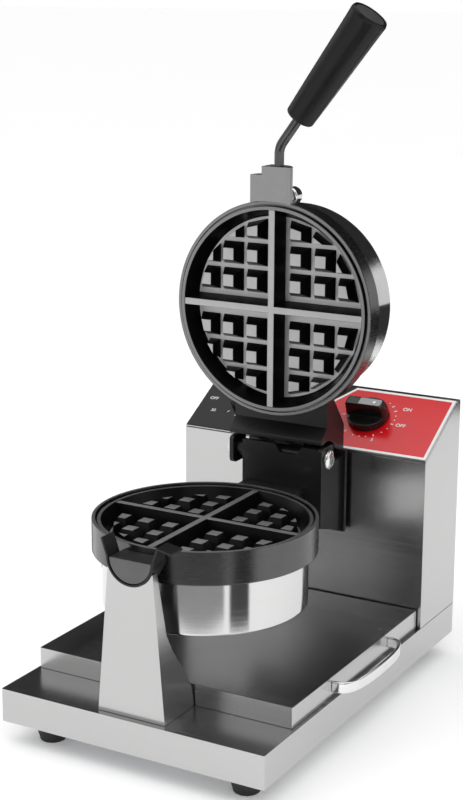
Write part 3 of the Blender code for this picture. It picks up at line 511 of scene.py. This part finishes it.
def rod_metal():
    look = Look("Dark polished rod", grey(0.24), 1.0, 0.16)
    draw = look.noise((900, 900, 40), 3.0)
    cloud = look.noise((60, 60, 60), 3.0)
    look.feed("Base Color", look.mix(cloud, grey(0.07), grey(0.13)))
    look.feed("Roughness", draw * 0.12 + cloud * 0.06 + 0.08)
    look.bump(draw, 0.08, 0.08)
    return look.material


def gloss_plastic():
    look = Look("Black gloss plastic", grey(0.012), 0.0, 0.16)
    haze = look.noise((80, 80, 80), 4.0)
    skin = look.noise((1200, 1200, 1200), 2.0)
    look.feed("Base Color", look.mix(haze, grey(0.004), grey(0.010)))
    look.feed("Roughness", haze * 0.12 + 0.10)
    look.feed("Specular IOR Level", 0.45)
    look.bump(skin + haze * 0.5, 0.05, 0.06)
    return look.material


def grip_plastic(centre, lean):
    """Moulded black grip with a fine grain that runs along it."""
    look = Look("Black grip", grey(0.016), 0.0, 0.3)
    turn = Matrix.Rotation(-lean, 3, "Y")
    sockets = {"Vector": look.places, "Rotation": (0, -lean, 0), "Location": -(turn @ centre)}
    local = look.node("Mapping", None, sockets)
    grain = look.noise((520, 520, 16), 3.0, 0.6, local)
    haze = look.noise((60, 60, 60), 3.0, 0.6, local)
    look.feed("Base Color", look.mix(grain, grey(0.003), grey(0.012)))
    look.feed("Specular IOR Level", 0.22)
    look.feed("Roughness", grain * 0.20 + haze * 0.08 + 0.16)
    look.bump(grain, 0.4, 0.12)
    return look.material


def cap_plastic():
    look = Look("Stippled cap", grey(0.03), 0.0, 0.5)
    cells = look.node("TexVoronoi", None, {"Vector": look.places, "Scale": 900.0}, "Distance")
    haze = look.noise((120, 120, 120))
    look.feed("Base Color", look.mix(haze, grey(0.020), grey(0.055)))
    look.feed("Roughness", cells * 0.3 + 0.34)
    look.bump(cells, 0.6, 0.15)
    return look.material


def label_film(name, colour, darker, shine):
    """Printed film: a glossy skin over the colour, with faint orange peel."""
    look = Look(name, colour, 0.0, 0.18)
    peel = look.noise((260, 260, 260), 2.0)
    haze = look.noise((35, 35, 35), 4.0)
    look.feed("Base Color", look.mix(haze, darker, colour))
    look.feed("Roughness", haze * 0.14 + 0.12)
    look.feed("Specular IOR Level", shine)
    look.bump(peel, 0.05, 0.06)
    return look.material


def print_white():
    look = Look("White print", grey(0.86), 0.0, 0.4)
    speck = look.noise((1500, 1500, 1500), 2.0)
    look.feed("Base Color", look.mix(speck, grey(0.80), grey(0.92)))
    look.feed("Roughness", speck * 0.2 + 0.3)
    look.bump(speck, 0.05, 0.03)
    return look.material


def silver_inlay():
    look = Look("Silver inlay", grey(0.55), 1.0, 0.3)
    line = look.noise((50, 2200, 2200), 2.0)
    look.feed("Base Color", look.mix(line, grey(0.24), grey(0.36)))
    look.feed("Roughness", line * 0.2 + 0.22)
    look.bump(line, 0.06, 0.05)
    return look.material


def rubber():
    look = Look("Black rubber", grey(0.014), 0.0, 0.7)
    grit = look.noise((700, 700, 700), 4.0)
    dust = look.noise((50, 50, 50), 4.0)
    look.feed("Base Color", look.mix(dust, grey(0.010), grey(0.030)))
    look.feed("Roughness", grit * 0.2 + dust * 0.15 + 0.5)
    look.bump(grit, 0.3, 0.1)
    return look.material


def brass():
    look = Look("Brass", (0.72, 0.50, 0.22), 1.0, 0.3)
    cloud = look.noise((80, 80, 80), 4.0)
    look.feed("Base Color", look.mix(cloud, (0.58, 0.39, 0.16), (0.78, 0.57, 0.28)))
    look.feed("Roughness", cloud * 0.22 + 0.18)
    look.bump(cloud, 0.06, 0.08)
    return look.material


def heater_sheath():
    look = Look("Heater sheath", (0.20, 0.18, 0.16), 1.0, 0.5)
    cloud = look.noise((120, 120, 120), 4.0)
    look.feed("Base Color", look.mix(cloud, (0.13, 0.115, 0.10), (0.30, 0.26, 0.22)))
    look.feed("Roughness", cloud * 0.3 + 0.36)
    look.bump(cloud, 0.15, 0.1)
    return look.material


# ---------------------------------------------------------------- base and tray

def make_base(steel, feet_look):
    low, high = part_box("base_pan")
    pan = soften(tub("folded_base_pan", low, high, 1.5, 1.3, -1), 0.5)
    place(pan, "base", "stainless", steel, "base_pan")
    corners = ("front_left", "front_right", "rear_left", "rear_right")
    low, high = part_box("foot_front_left")
    wide = (high.x - low.x) / 2 / MM
    tall = (high.z - low.z) / MM
    profile = rounded([(0, 0.8), (7.0, 0.8), (7.6, 0, 0.4), (wide - 3.3, 0, 1.4),
                       (wide - 2.6, 4.6, 0.5), (wide - 2.0, 5.4, 0.5), (wide, tall, 0.8),
                       (0, tall)], 4)
    first = soften(turned("foot", profile, at(0, 0, 0), UP, 64), 0)
    for corner in corners:
        centre = middle("foot_" + corner)
        centre.z = 0
        foot = copy_of(first, "rubber_foot_" + corner, Matrix.Translation(centre - at(0, 0, 0)))
        place(foot, "base", "rubber", feet_look, "foot_" + corner)
    bpy.data.objects.remove(first)


def make_tray(steel, bright):
    low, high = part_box("drip_tray")
    tray = soften(tub("folded_drip_tray", low, high, 1.2, 1.0, 1), 0.3)
    place(tray, "drip_tray", "stainless", steel, "drip_tray")
    bow_low, bow_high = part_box("tray_handle")
    centre = (bow_low + bow_high) / 2
    reach = bow_high.x - bow_low.x - 1.8 * MM
    half = (bow_high.y - bow_low.y) / 2 - 1.5 * MM
    path = []
    for i in range(49):
        turn = math.pi * (1 - i / 48)
        out = math.sin(turn) ** 0.55 if 0 < i < 48 else 0.0
        along = math.copysign(abs(math.cos(turn)) ** 0.8, math.cos(turn))
        path.append(Vector((bow_low.x + 0.2 * MM + reach * out, centre.y + half * along, centre.z)))
    bow = soften(tube("tray_bow", path, 1.5, 16, 3.5), 0)
    place(bow, "drip_tray", "chrome", bright, "tray_handle")


# ---------------------------------------------------------------- post and housing

def make_stand(steel, coat, cast, galvanised):
    post = from_cad("folded_post", "front_post", 0.45)
    place(post, "base", "stainless", steel, "front_post")
    saddle = from_cad("trunnion_saddle", "cradle_saddle", 0.3)
    place(saddle, "base", "black_coat", coat, "cradle_saddle")
    shell = from_cad("folded_housing", "housing_shell", 0.45)
    place(shell, "base", "stainless", steel, "housing_shell")
    panel = from_cad("sloped_panel", "control_panel", 0.35)
    place(panel, "base", "stainless", steel, "control_panel")
    cover = from_cad("louvred_rear_cover", "rear_cover", 0.3)
    place(cover, "base", "sheet_steel", galvanised, "rear_cover")
    bearing = from_cad("flip_bearing", "bearing_block", 0.4)
    place(bearing, "base", "cast_arm", cast, "bearing_block")


def slotted_head(name, centre, axis, radius, height, across):
    """A domed screw head with a slot cut along a direction."""
    profile = rounded([(0, 0), (radius, 0, 0.2), (radius, height * 0.55, height * 0.4),
                       (radius * 0.6, height, height), (0, height)], 5)
    head = turned(name, profile, centre, axis, 48)
    deep = axis * height * MM
    side = axis.cross(across).normalized() * radius * 0.14 * MM
    long = across * radius * 1.4 * MM
    floor = centre + deep * 0.55
    outline = [floor - long - side, floor + long - side, floor + long + side, floor - long + side]
    carve(head, plate("slot", outline, deep))
    return soften(head, 0.12, 2)


def make_rear(bright, black):
    low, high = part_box("rear_screw_1")
    radius = (high.x - low.x) / 2 / MM
    centre = (low + high) / 2
    centre.y = low.y
    first = slotted_head("screw", centre, BACK, radius, (high.y - low.y) / MM, (RIGHT + UP).normalized())
    for i in range(1, 5):
        node = f"rear_screw_{i}"
        move = middle(node) - middle("rear_screw_1")
        screw = copy_of(first, f"cover_screw_{i}", Matrix.Translation(move))
        place(screw, "base", "chrome", bright, node)
    bpy.data.objects.remove(first)
    low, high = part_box("cord_gland")
    centre = (low + high) / 2
    centre.y = high.y
    profile = [(4.2, 0), (7.0, 0, 0.8)]
    for i in range(3):
        profile += [(7.9 + i * 0.9, -2 - i * 2.0, 0.3), (7.4 + i * 0.9, -2.3 - i * 2.0, 0.3)]
    profile += [(10.6, -7.0, 0.5), (12.0, -7.4, 0.6), (12.0, -12.7, 0.6), (8.0, -12.7), (8.0, -25),
                (4.2, -25), (4.2, 0)]
    gland = turned("ribbed_gland", rounded(profile), centre, BACK, 64)
    place(soften(gland, 0), "base", "black_plastic", black, "cord_gland")


# ---------------------------------------------------------------- panel

PANEL_RISE = 40.1
PANEL_DEPTH = 70.6
SLOPE = math.atan2(PANEL_RISE, PANEL_DEPTH)
PANEL_LENGTH = math.hypot(PANEL_RISE, PANEL_DEPTH)
PANEL_LOW, PANEL_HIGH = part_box("control_panel")
PANEL_FRONT = Vector((FRONT_MIDDLE.x, PANEL_LOW.y, PANEL_HIGH.z - PANEL_RISE * MM))
ON_PANEL = Matrix.Translation(PANEL_FRONT) @ Matrix.Rotation(SLOPE, 4, "X")
LABEL_TOP = 0.8
# Dials on the panel: from its middle, and up its slope
DIALS = {"timer": (51.0, 43.5), "thermostat": (-75.0, 46.0)}


def lay_on_panel(piece, x, up):
    """Moves a piece made flat at the origin to a place on the sloped panel."""
    piece.data.transform(ON_PANEL @ Matrix.Translation(Vector((x, up, 0)) * MM))
    return piece


def flat_points(outline, height):
    return [Vector((x, y, height)) * MM for x, y in outline]


def make_label(name, outline, film, border, body, slot, node):
    """A printed film label with a white border inside its edge."""
    label = plate(name, flat_points(outline, 0.3), UP * 0.5 * MM)
    looks = [film]
    label.data.materials.append(film)
    if border:
        looks.append(border)
        label.data.materials.append(border)
        choose(label, lambda centre, normal: normal.z > 0.9)
        bpy.ops.mesh.inset(thickness=2.5 * MM)
        rest()
        for face in label.data.polygons:
            edge = max(abs(v) for v in face.normal[:2]) > 0.5
            face.material_index = int(edge or len(face.vertices) == 4 and face.normal.z > 0.9)
    lay_on_panel(label, 0, 0)
    return place(label, body, slot, looks, node)


def words(text, size, x, up):
    """Small printed words or numbers, centred on a point of the panel."""
    rest()
    bpy.ops.object.text_add()
    sign = bpy.context.object
    sign.data.body = text
    sign.data.size = size * MM
    sign.data.align_x = "CENTER"
    sign.data.align_y = "CENTER"
    sign.data.offset = 0.05 * MM
    sign.data.extrude = 0.03 * MM
    bpy.ops.object.convert(target="MESH")
    made = begin("words")
    made.data.transform(Matrix.Translation(Vector((x, up, LABEL_TOP + 0.05)) * MM))
    return made


def make_marks(name, x, up, ticks, dots, signs, white):
    """The scale round a dial: ticks, dots and words printed on the label."""
    made = []
    tick = block("tick", Vector((24.2, -0.45, LABEL_TOP)) * MM, Vector((27.0, 0.45, LABEL_TOP + 0.06)) * MM)
    for angle in ticks:
        made.append(copy_of(tick, "tick", Matrix.Rotation(math.radians(angle), 4, "Z")))
    dot = turned("dot", rounded([(0, 0), (0.62, 0), (0.62, 0.06), (0, 0.06)]),
                 Vector((25.6, 0, LABEL_TOP)) * MM, UP, 12)
    for angle in dots:
        made.append(copy_of(dot, "dot", Matrix.Rotation(math.radians(angle), 4, "Z")))
    for text, size, dx, dy in signs:
        made.append(words(text, size, dx, dy))
    bpy.data.objects.remove(tick)
    bpy.data.objects.remove(dot)
    marks = lay_on_panel(joined(made, name), x, up)
    place(marks, "base", "black_gloss", white)


def make_knob(name, x, up, looks, body, node):
    """A dial knob: a dished round skirt with a bar grip, a silver inlay and a white dot."""
    base = 1.5
    top = base + 20.0
    profile = rounded([(0, base), (19.6, base, 0.4), (20.0, base + 0.8, 0.3),
                       (19.5, base + 8.5, 0.5), (18.7, base + 18.6, 0.8), (17.2, top, 1.2),
                       (0, top)], 4)
    knob = turned(name, profile, Vector((0, 0, 0)), UP, 96)
    for side in (-1, 1):
        outline = [(6.2, 7.6), (10.5, 6.8), (26, 7.6), (26, 30), (4.4, 30)]
        points = [Vector((-26, side * y, z + base)) * MM for y, z in outline]
        carve(knob, plate("side", points, RIGHT * 52 * MM))
    soften(knob, 0.7, 3, 28.0, False)
    outline = [(-5.0, -4.1), (15.6, -4.1), (16.6, -3.2), (16.9, 0), (16.6, 3.2), (15.6, 4.1), (-5.0, 4.1)]
    inlay = soften(plate("inlay", flat_points(outline, top - 0.1), UP * 0.25 * MM), 0.08, 1)
    dot = turned("pointer", rounded([(0, 0), (1.5, 0), (1.5, 0.3, 0.15), (0, 0.3)]),
                 Vector((9.8, 0, top)) * MM, UP, 32)
    soften(dot, 0)
    for piece, look in ((knob, looks[0]), (inlay, looks[1]), (dot, looks[2])):
        piece.data.materials.append(look)
    whole = lay_on_panel(joined([knob, inlay, dot], name), x, up)
    return place(whole, body, "black_gloss", looks, node)


def make_panel(red, black, white, knob_looks):
    near, far, side, split = 0.8, PANEL_LENGTH - 0.8, 124.2, 7.0
    outline = [(split, near), (side, near), (side, far), (split + 17, far), (split, far - 21.5)]
    make_label("red_label", outline, red, white, "base", "red_label", "timer_label")
    left = split - 0.6
    outline = [(-side, near), (left, near), (left, far - 21.2), (left + 16.6, far), (-side, far)]
    make_label("black_label", outline, black, None, "base", "black_gloss", "thermostat_label")
    x, up = DIALS["timer"]
    dots = (15, 3, -25, -40, -74, -88, -103, 60)
    signs = [("ON", 5.6, 32.4, 16.8), ("OFF", 5.6, 34.0, -4.8), ("5", 5.0, 14.6, -27.6)]
    make_marks("timer_scale", x, up, (30, -10, -58, -126, -180, 46), dots, signs, white)
    x, up = DIALS["thermostat"]
    dots = (15, 3, -25, -40, -74, -88, -103)
    signs = [("OFF", 5.2, -38.0, -6.0), ("50", 5.0, -31.0, -22.0), ("300", 5.0, 33.5, -6.0)]
    make_marks("thermostat_scale", x, up, (30, -10, -58, -126, -180, 150), dots, signs, white)
    for key, (x, up) in DIALS.items():
        make_knob(key + "_dial", x, up, knob_looks, key + "_knob", key + "_knob")


# ---------------------------------------------------------------- moulds

MOULD = 88.0
FLOOR_RADIUS = 82.0
FLOOR_DEPTH = 15.5
PLATE_BACK = 19.0
GROOVE_INSIDE = 91.3
GROOVE_OUTSIDE = 92.7
GROOVE_DEPTH = 4.5
RING = 95.8
PEG_FIRST = 21.5
PEG_PITCH = 24
PEG_HALF = 10.3
PEG_HEIGHT = 11.2
PEG_TAPER = 0.53
SMALLEST_PEG = 120


def clipped_square(cx, cy, half, radius):
    """A square with the part outside a circle cut off."""
    line = [(cx - half, cy - half), (cx + half, cy - half), (cx + half, cy + half), (cx - half, cy + half)]
    kept = []
    for i, a in enumerate(line):
        b = line[(i + 1) % 4]
        for k in range(16):
            t = k / 16
            x, y = a[0] + (b[0] - a[0]) * t, a[1] + (b[1] - a[1]) * t
            if math.hypot(x, y) <= radius:
                kept.append((x, y))
    corners = []
    for i, here in enumerate(kept):
        a, b = Vector(kept[i - 1]), Vector(kept[(i + 1) % len(kept)])
        turn = (Vector(here) - a).cross(b - Vector(here))
        if abs(turn) > 1e-6 or abs(math.hypot(*here) - radius) < 1e-6:
            corners.append(here)
    return corners


def make_peg(cx, cy):
    """One peg of the waffle grid, or None where too little of it is inside the mould."""
    outline = clipped_square(cx, cy, PEG_HALF, FLOOR_RADIUS - 2.0)
    xs, ys = [x for x, y in outline], [y for x, y in outline]
    if len(outline) < 3 or (max(xs) - min(xs)) * (max(ys) - min(ys)) < SMALLEST_PEG:
        return None
    peg = plate("peg", flat_points(outline, -FLOOR_DEPTH - 0.3), UP * (PEG_HEIGHT + 0.3) * MM)
    choose(peg, lambda centre, normal: normal.z > 0.9)
    pivot = Vector((sum(xs) / len(xs), sum(ys) / len(ys), PEG_HEIGHT - FLOOR_DEPTH)) * MM
    bpy.ops.transform.resize(value=(PEG_TAPER, PEG_TAPER, 1), center_override=pivot)
    return soften(peg, 0.55, 2, 40.0, False)


def make_waffle_grid():
    """The pegs of one quarter, copied round the centre, and the two cross bars."""
    pegs = []
    for i in range(3):
        for j in range(3):
            peg = make_peg(PEG_FIRST + PEG_PITCH * i, PEG_FIRST + PEG_PITCH * j) if i + j < 4 else None
            if peg:
                pegs.append(peg)
    quarter = joined(pegs, "grid")
    made = [quarter]
    for turn in (90, 180, 270):
        made.append(copy_of(quarter, "grid", Matrix.Rotation(math.radians(turn), 4, "Z")))
    outline = [(-6.6, -16.2), (6.6, -16.2), (3.0, -0.4), (-3.0, -0.4)]
    points = [Vector((x, -MOULD - 1.5, z)) * MM for x, z in outline]
    bar = soften(plate("bar", points, BACK * (2 * MOULD + 3) * MM), 0.5, 2)
    lower = Matrix.Translation(UP * -0.02 * MM) @ Matrix.Rotation(math.radians(90), 4, "Z")
    made += [bar, copy_of(bar, "bar", lower)]
    return joined(made, "grid")


def make_mould(name, lip, depth, grid, where, looks, body, node):
    """A mould plate: the dish, its grooved rim and the outer ring, with the grid in it."""
    dish = [(0, -FLOOR_DEPTH), (FLOOR_RADIUS, -FLOOR_DEPTH, 1.6), (MOULD, 0, 0.6),
            (GROOVE_INSIDE, 0, 0.4), (GROOVE_INSIDE + 0.2, -GROOVE_DEPTH),
            (GROOVE_OUTSIDE - 0.1, -GROOVE_DEPTH), (GROOVE_OUTSIDE, lip, 0.4), (RING, lip, 0.7),
            (RING, -depth, 0.8), (92.0, -depth, 0.3), (92.0, -PLATE_BACK), (0, -PLATE_BACK)]
    body_piece = soften(turned(name, rounded(dish), Vector((0, 0, 0)), UP, 160), 0)
    body_piece.data.materials.append(looks[0])
    body_piece.data.materials.append(looks[1])
    for face in body_piece.data.polygons:
        out = math.hypot(face.center.x, face.center.y) > 92.3 * MM
        face.material_index = int(out and abs(face.normal.z) < 0.8)
    inside = copy_of(grid, "grid", Matrix.Identity(4))
    inside.data.materials.clear()
    inside.data.materials.append(looks[0])
    whole = joined([body_piece, inside], name)
    whole.data.transform(where)
    return place(whole, body, "nonstick", looks, node)


def make_band(name, centre, axis, radius, start, depth, steel, body, node):
    """The rolled steel band round the back of a mould, with its turned-in edge."""
    profile = rounded([(radius - 1.2, start), (radius, start, 0.3), (radius, depth, 2.6),
                       (radius - 12, depth, 0.5), (radius - 12, depth - 1.2, 0.4),
                       (radius - 1.2, depth - 1.2, 1.6), (radius - 1.2, start)], 5)
    band = soften(turned(name, profile, centre, axis, 160), 0)
    return place(band, body, "stainless", steel, node)


def make_moulds(looks):
    low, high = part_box("lower_plate")
    lower = Vector(((low.x + high.x) / 2, (low.y + high.y) / 2, high.z - 2.0 * MM))
    lid_low, lid_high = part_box("upper_plate")
    upper = Vector(((lid_low.x + lid_high.x) / 2, lid_low.y, (lid_low.z + lid_high.z) / 2))
    grid = make_waffle_grid()
    where = Matrix.Translation(lower)
    make_mould("lower_mould", 2.0, 26.5, grid, where, looks["lower"], "head", "lower_plate")
    where = Matrix.Translation(upper) @ Matrix.Rotation(math.radians(90), 4, "X")
    make_mould("upper_mould", -2.3, 20.0, grid, where, looks["upper"], "lid", "upper_plate")
    bpy.data.objects.remove(grid)
    make_band("lower_band", lower, -UP, 87.8, 19.3, 72.9, looks["lower_band"], "head", "lower_casing")
    make_band("upper_band", upper, BACK, 88.3, 19.3, 60.5, looks["upper_band"], "lid", "upper_casing")


# ---------------------------------------------------------------- head and lid

BOLT_HEAD_HEIGHT = 4.5
ROD_RADIUS = 4.3
ROD_RISE = 16
ROD_BEND = 6.0
HANDLE_LEAN = math.radians(36.4)
GRIP_START = 31


def make_head(coat, cast, disc, bright):
    for name, node, body, look, slot in (
        ("rotor_frame", "rotor_bracket", "head", coat, "black_coat"),
        ("lid_arm_block", "lid_arm", "lid", coat, "black_coat"),
        ("pan_arm_block", "pan_arm", "head", disc, "cast_arm"),
        ("lower_half_disc", "lower_trunnion", "head", disc, "cast_arm"),
        ("upper_half_disc", "upper_trunnion", "lid", cast, "cast_arm"),
    ):
        place(from_cad(name, node, 0.6), body, slot, look, node)
    centre = middle("hinge_bolt")
    low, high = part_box("hinge_bolt")
    end = Vector((high.x - BOLT_HEAD_HEIGHT * MM, centre.y, centre.z))
    slot_line = (UP + BACK * 0.4).normalized()
    head = slotted_head("slotted_hinge_bolt", end, RIGHT, 8.8, BOLT_HEAD_HEIGHT, slot_line)
    tip = (low.x - end.x) / MM
    profile = rounded([(0, 0), (4.0, 0), (4.0, tip + 0.8, 0.4), (3.2, tip), (0, tip)])
    shank = soften(turned("shank", profile, end, RIGHT, 32), 0)
    bolt = joined([head, shank], "slotted_hinge_bolt")
    place(bolt, "head", "chrome", bright, "hinge_bolt")


def make_handle(rod_look, grip_look, cap_look, foot, along):
    """The bent rod, the grip on it and the cap in the grip's end."""
    bend = foot + UP * ROD_RISE * MM
    turn = ROD_BEND * MM
    path = [foot, foot + UP * 5 * MM, bend - UP * turn]
    for i in range(1, 9):
        t = i / 9
        a, c = bend - UP * turn, bend + along * turn
        path.append(a * (1 - t) ** 2 + bend * 2 * t * (1 - t) + c * t**2)
    path += [bend + along * turn, bend + along * 40 * MM, bend + along * 69 * MM]
    rod = soften(tube("bent_rod", path, ROD_RADIUS, 20), 0)
    place(rod, "lid", "rod_steel", rod_look, "handle_rod")
    low = bend + along * GRIP_START * MM
    profile = rounded([(4.7, 38), (4.7, 0.0), (9.4, 0.0, 1.0), (13.0, 1.2, 2.6), (14.4, 36, 30),
                       (16.4, 96, 30), (17.0, 107.2, 2.0), (15.9, 109.8, 1.0), (14.6, 109.8, 0.6),
                       (14.2, 107.4), (0, 107.4)], 5)
    grip = soften(turned("moulded_grip", profile, low, along, 96), 0)
    place(grip, "lid", "black_plastic", grip_look, "grip")
    profile = rounded([(0, 107.6), (13.9, 107.6, 0.3), (13.9, 109.0, 0.8), (9.0, 109.5, 3.0), (0, 109.6)], 4)
    cap = soften(turned("grip_end", profile, low, along, 64), 0)
    place(cap, "lid", "black_plastic", cap_look, "grip_cap")


def make_stud(bright):
    low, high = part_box("lid_stud")
    centre = (low + high) / 2
    centre.y = low.y
    profile = rounded([(0, 2.6), (3.6, 2.6, 0.6), (4.4, 0.2, 0.6), (6.6, 0, 1.0), (8.0, 2.2, 1.6),
                       (8.0, 11.0, 0.8), (7.0, 12.0, 0.6), (0, 12.0)], 5)
    stud = soften(turned("dimpled_stud", profile, centre, BACK, 64), 0)
    place(stud, "lid", "chrome", bright, "lid_stud")


# ---------------------------------------------------------------- studio

CAMERA_PLACE = (684.4, -1040.4, 627.1)
CAMERA_FORWARD = (-0.4840, 0.8451, -0.2272)
CAMERA_LEVEL = (0.8678, 0.4970, 0)
CAMERA_ROLL = math.radians(0.21)
CAMERA_SENSOR = 24
CAMERA_LENS = 50.346
CAMERA_SHIFT = (0.0089, -0.0373)
FLOOR_SIZE = 60
# Area lights: place, width and length in metres, watts
LIGHTS = (((-1500, -900, 1500), (1.2, 1.2), 10), ((1400, -700, 1500), (0.6, 1.4), 7))
# Upright cards round the pan: azimuth in degrees from the right, width, level
CARDS = ((118, 520, 0.012), (-26.5, 125, 0.06), (-66, 330, 0.42))
CARD_DISTANCE = 360
CARD_MIDDLE = 190
CARD_HEIGHT = 370
# Upright cards behind the machine: left, right, bottom and top, level
BACK_CARDS = ((60, 700, 190, 310, 0.03), (60, 700, 310, 450, 0.9), (-300, 700, 450, 900, 0.015))
BACK_CARD_DEPTH = 550


def make_camera():
    forward = Vector(CAMERA_FORWARD).normalized()
    level = Vector(CAMERA_LEVEL).normalized()
    over = level.cross(forward)
    across = level * math.cos(CAMERA_ROLL) + over * math.sin(CAMERA_ROLL)
    above = over * math.cos(CAMERA_ROLL) - level * math.sin(CAMERA_ROLL)
    rest()
    bpy.ops.object.camera_add()
    camera = bpy.context.object
    facing = Matrix((across, above, -forward)).transposed().to_4x4()
    camera.matrix_world = Matrix.Translation(at(*CAMERA_PLACE)) @ facing
    camera.data.sensor_width = CAMERA_SENSOR
    camera.data.lens = CAMERA_LENS
    camera.data.shift_x, camera.data.shift_y = CAMERA_SHIFT
    camera.data.clip_end = FLOOR_SIZE
    bpy.context.scene.camera = camera


def soft_light(place_at, target, size, power):
    """A broad light that shows only in dull surfaces, so the cards shape the reflections."""
    rest()
    bpy.ops.object.light_add(type="AREA", location=place_at)
    light = bpy.context.object
    light.data.shape = "RECTANGLE"
    light.data.size, light.data.size_y = size
    light.data.energy = power
    light.visible_glossy = False
    light.rotation_euler = (target - place_at).to_track_quat("-Z", "Y").to_euler()


class Surround(Look):
    """The light from all round the machine, built with the same node maker."""

    def __init__(self, world):
        world.use_nodes = True
        self.tree = world.node_tree
        self.shader = self.tree.nodes["Background"]
        self.places = self.node("TexCoord", output="Generated")


def make_surround():
    """Soft panels and dark gaps round the horizon, under a broad bright ceiling."""
    world = bpy.context.scene.world or bpy.data.worlds.new("Studio")
    bpy.context.scene.world = world
    look = Surround(world)
    across, depth, height = (look.axis(look.places, letter) for letter in "XYZ")
    turn = look.maths_of("ARCTAN2", depth, across) * (0.5 / math.pi) + 0.5
    stops = [(0.0, 0.95), (0.08, 0.50), (0.15, 0.95), (0.22, 0.12), (0.27, 0.12), (0.31, 0.95),
             (0.37, 0.90), (0.41, 0.14), (0.46, 0.10), (0.50, 0.50), (0.55, 1.0), (0.66, 0.50),
             (0.72, 0.04), (0.86, 0.03), (0.94, 0.50), (1.0, 0.95)]
    panels = look.node("ValToRGB", {"stops": stops}, {0: turn})
    ceiling = look.step(height, 0.60, 0.95)
    light = look.mix(ceiling, panels, (1.7, 1.7, 1.7))
    seen = look.node("LightPath", output="Is Camera Ray")
    look.feed("Color", look.mix(seen, light, (1.0, 1.0, 1.0)))
    look.feed("Strength", 1.0)


def card(centre, turn, width, height, level):
    """A card that shows only in reflections, where it puts dark and bright bands."""
    rest()
    bpy.ops.mesh.primitive_plane_add(size=1, location=centre, rotation=(math.pi / 2, 0, turn))
    panel = bpy.context.object
    panel.scale = (width * MM, height * MM, 1)
    panel = begin("reflection_card")
    look = Look("Card", grey(level), 0.0, 0.9)
    mottle = look.noise((3, 3, 3), 2.0)
    look.feed("Base Color", look.mix(mottle, grey(level * 0.8), grey(level * 1.2)))
    panel.data.materials.append(look.material)
    panel.visible_camera = False
    panel.visible_shadow = False
    panel.visible_diffuse = False


def make_studio():
    """The pale floor, which also glows a little, the lights and the cards."""
    rest()
    bpy.ops.mesh.primitive_plane_add(size=FLOOR_SIZE)
    floor = begin("floor")
    look = Look("Pale floor", grey(0.86), 0.0, 0.75)
    cloud = look.noise((2, 2, 2), 2.0)
    look.feed("Base Color", look.mix(cloud, grey(0.90), grey(0.93)))
    look.feed("Emission Color", (1.0, 1.0, 1.0, 1.0))
    look.feed("Emission Strength", 0.16)
    floor.data.materials.append(look.material)
    make_surround()
    target = at(0, 190, 250)
    for where, size, power in LIGHTS:
        soft_light(at(*where), target, size, power)
    pan = middle("lower_plate")
    for azimuth, width, level in CARDS:
        turn = math.radians(azimuth)
        centre = pan + Vector((math.cos(turn), math.sin(turn), 0)) * CARD_DISTANCE * MM
        centre.z = CARD_MIDDLE * MM
        card(centre, turn + math.pi / 2, width, CARD_HEIGHT, level)
    for left, right, bottom, top, level in BACK_CARDS:
        centre = at((left + right) / 2, BACK_CARD_DEPTH, (bottom + top) / 2)
        card(centre, 0, right - left, top - bottom, level)
    bpy.context.scene.view_settings.view_transform = "Standard"


# ---------------------------------------------------------------- the whole machine

def dress_machine():
    steel = brushed_steel("Brushed stainless", 0.51, 0.16, 0.30, 0.07, (9, 2400, 2400), (2400, 9, 2400))
    lower_band = brushed_steel("Lower band steel", 0.66, 0.07, 0.15, 0.12, (9, 9, 2400), (9, 9, 2400))
    upper_band = brushed_steel("Upper band steel", 0.60, 0.06, 0.14, 0.4, (9, 2400, 9), (9, 2400, 9))
    galvanised = sheet_steel()
    cast = cast_metal("Cast grey metal", 0.2, 0.27, 0.36, 0.26, 0.25)
    disc = cast_metal("Dark half disc metal", 0.13, 0.10, 0.16, 0.24, 0.22)
    coat = coated_steel()
    bright = chrome()
    black = gloss_plastic()
    white = print_white()
    ring = ring_metal()
    make_base(steel, rubber())
    make_tray(steel, bright)
    make_stand(steel, coat, cast, galvanised)
    make_rear(bright, black)
    red = label_film("Red label film", (0.72, 0.008, 0.014), (0.60, 0.005, 0.010), 0.5)
    dark = label_film("Black label film", grey(0.008), grey(0.004), 0.25)
    make_panel(red, dark, white, [black, silver_inlay(), white])
    make_moulds({
        "lower": [plate_metal("Z", middle("lower_plate")), ring],
        "upper": [plate_metal("Y", middle("upper_plate")), ring],
        "lower_band": lower_band,
        "upper_band": upper_band,
    })
    make_head(coat, cast, disc, bright)
    low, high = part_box("handle_rod")
    foot = Vector((low.x + ROD_RADIUS * MM, (low.y + high.y) / 2, low.z))
    along = Vector((math.sin(HANDLE_LEAN), 0, math.cos(HANDLE_LEAN)))
    make_handle(rod_metal(), grip_plastic(foot, HANDLE_LEAN), cap_plastic(), foot, along)
    make_stud(bright)
    element = heater_sheath()
    yellow = brass()
    for node, look in {
        "bottom_cover": galvanised, "lower_cover": galvanised, "upper_cover": galvanised,
        "lower_cover_nut": bright, "upper_cover_nut": bright, "hinge_nut": bright,
        "lower_element": element, "upper_element": element, "bearing_washer": yellow,
        "flip_shaft": rod_metal(), "shaft_collar": galvanised, "terminal_block": black,
        "timer_body": black, "thermostat_body": black,
        "timer_shaft": yellow, "thermostat_shaft": yellow,
    }.items():
        finish_node(node, look)


dress_machine()
make_camera()
make_studio()
rest()
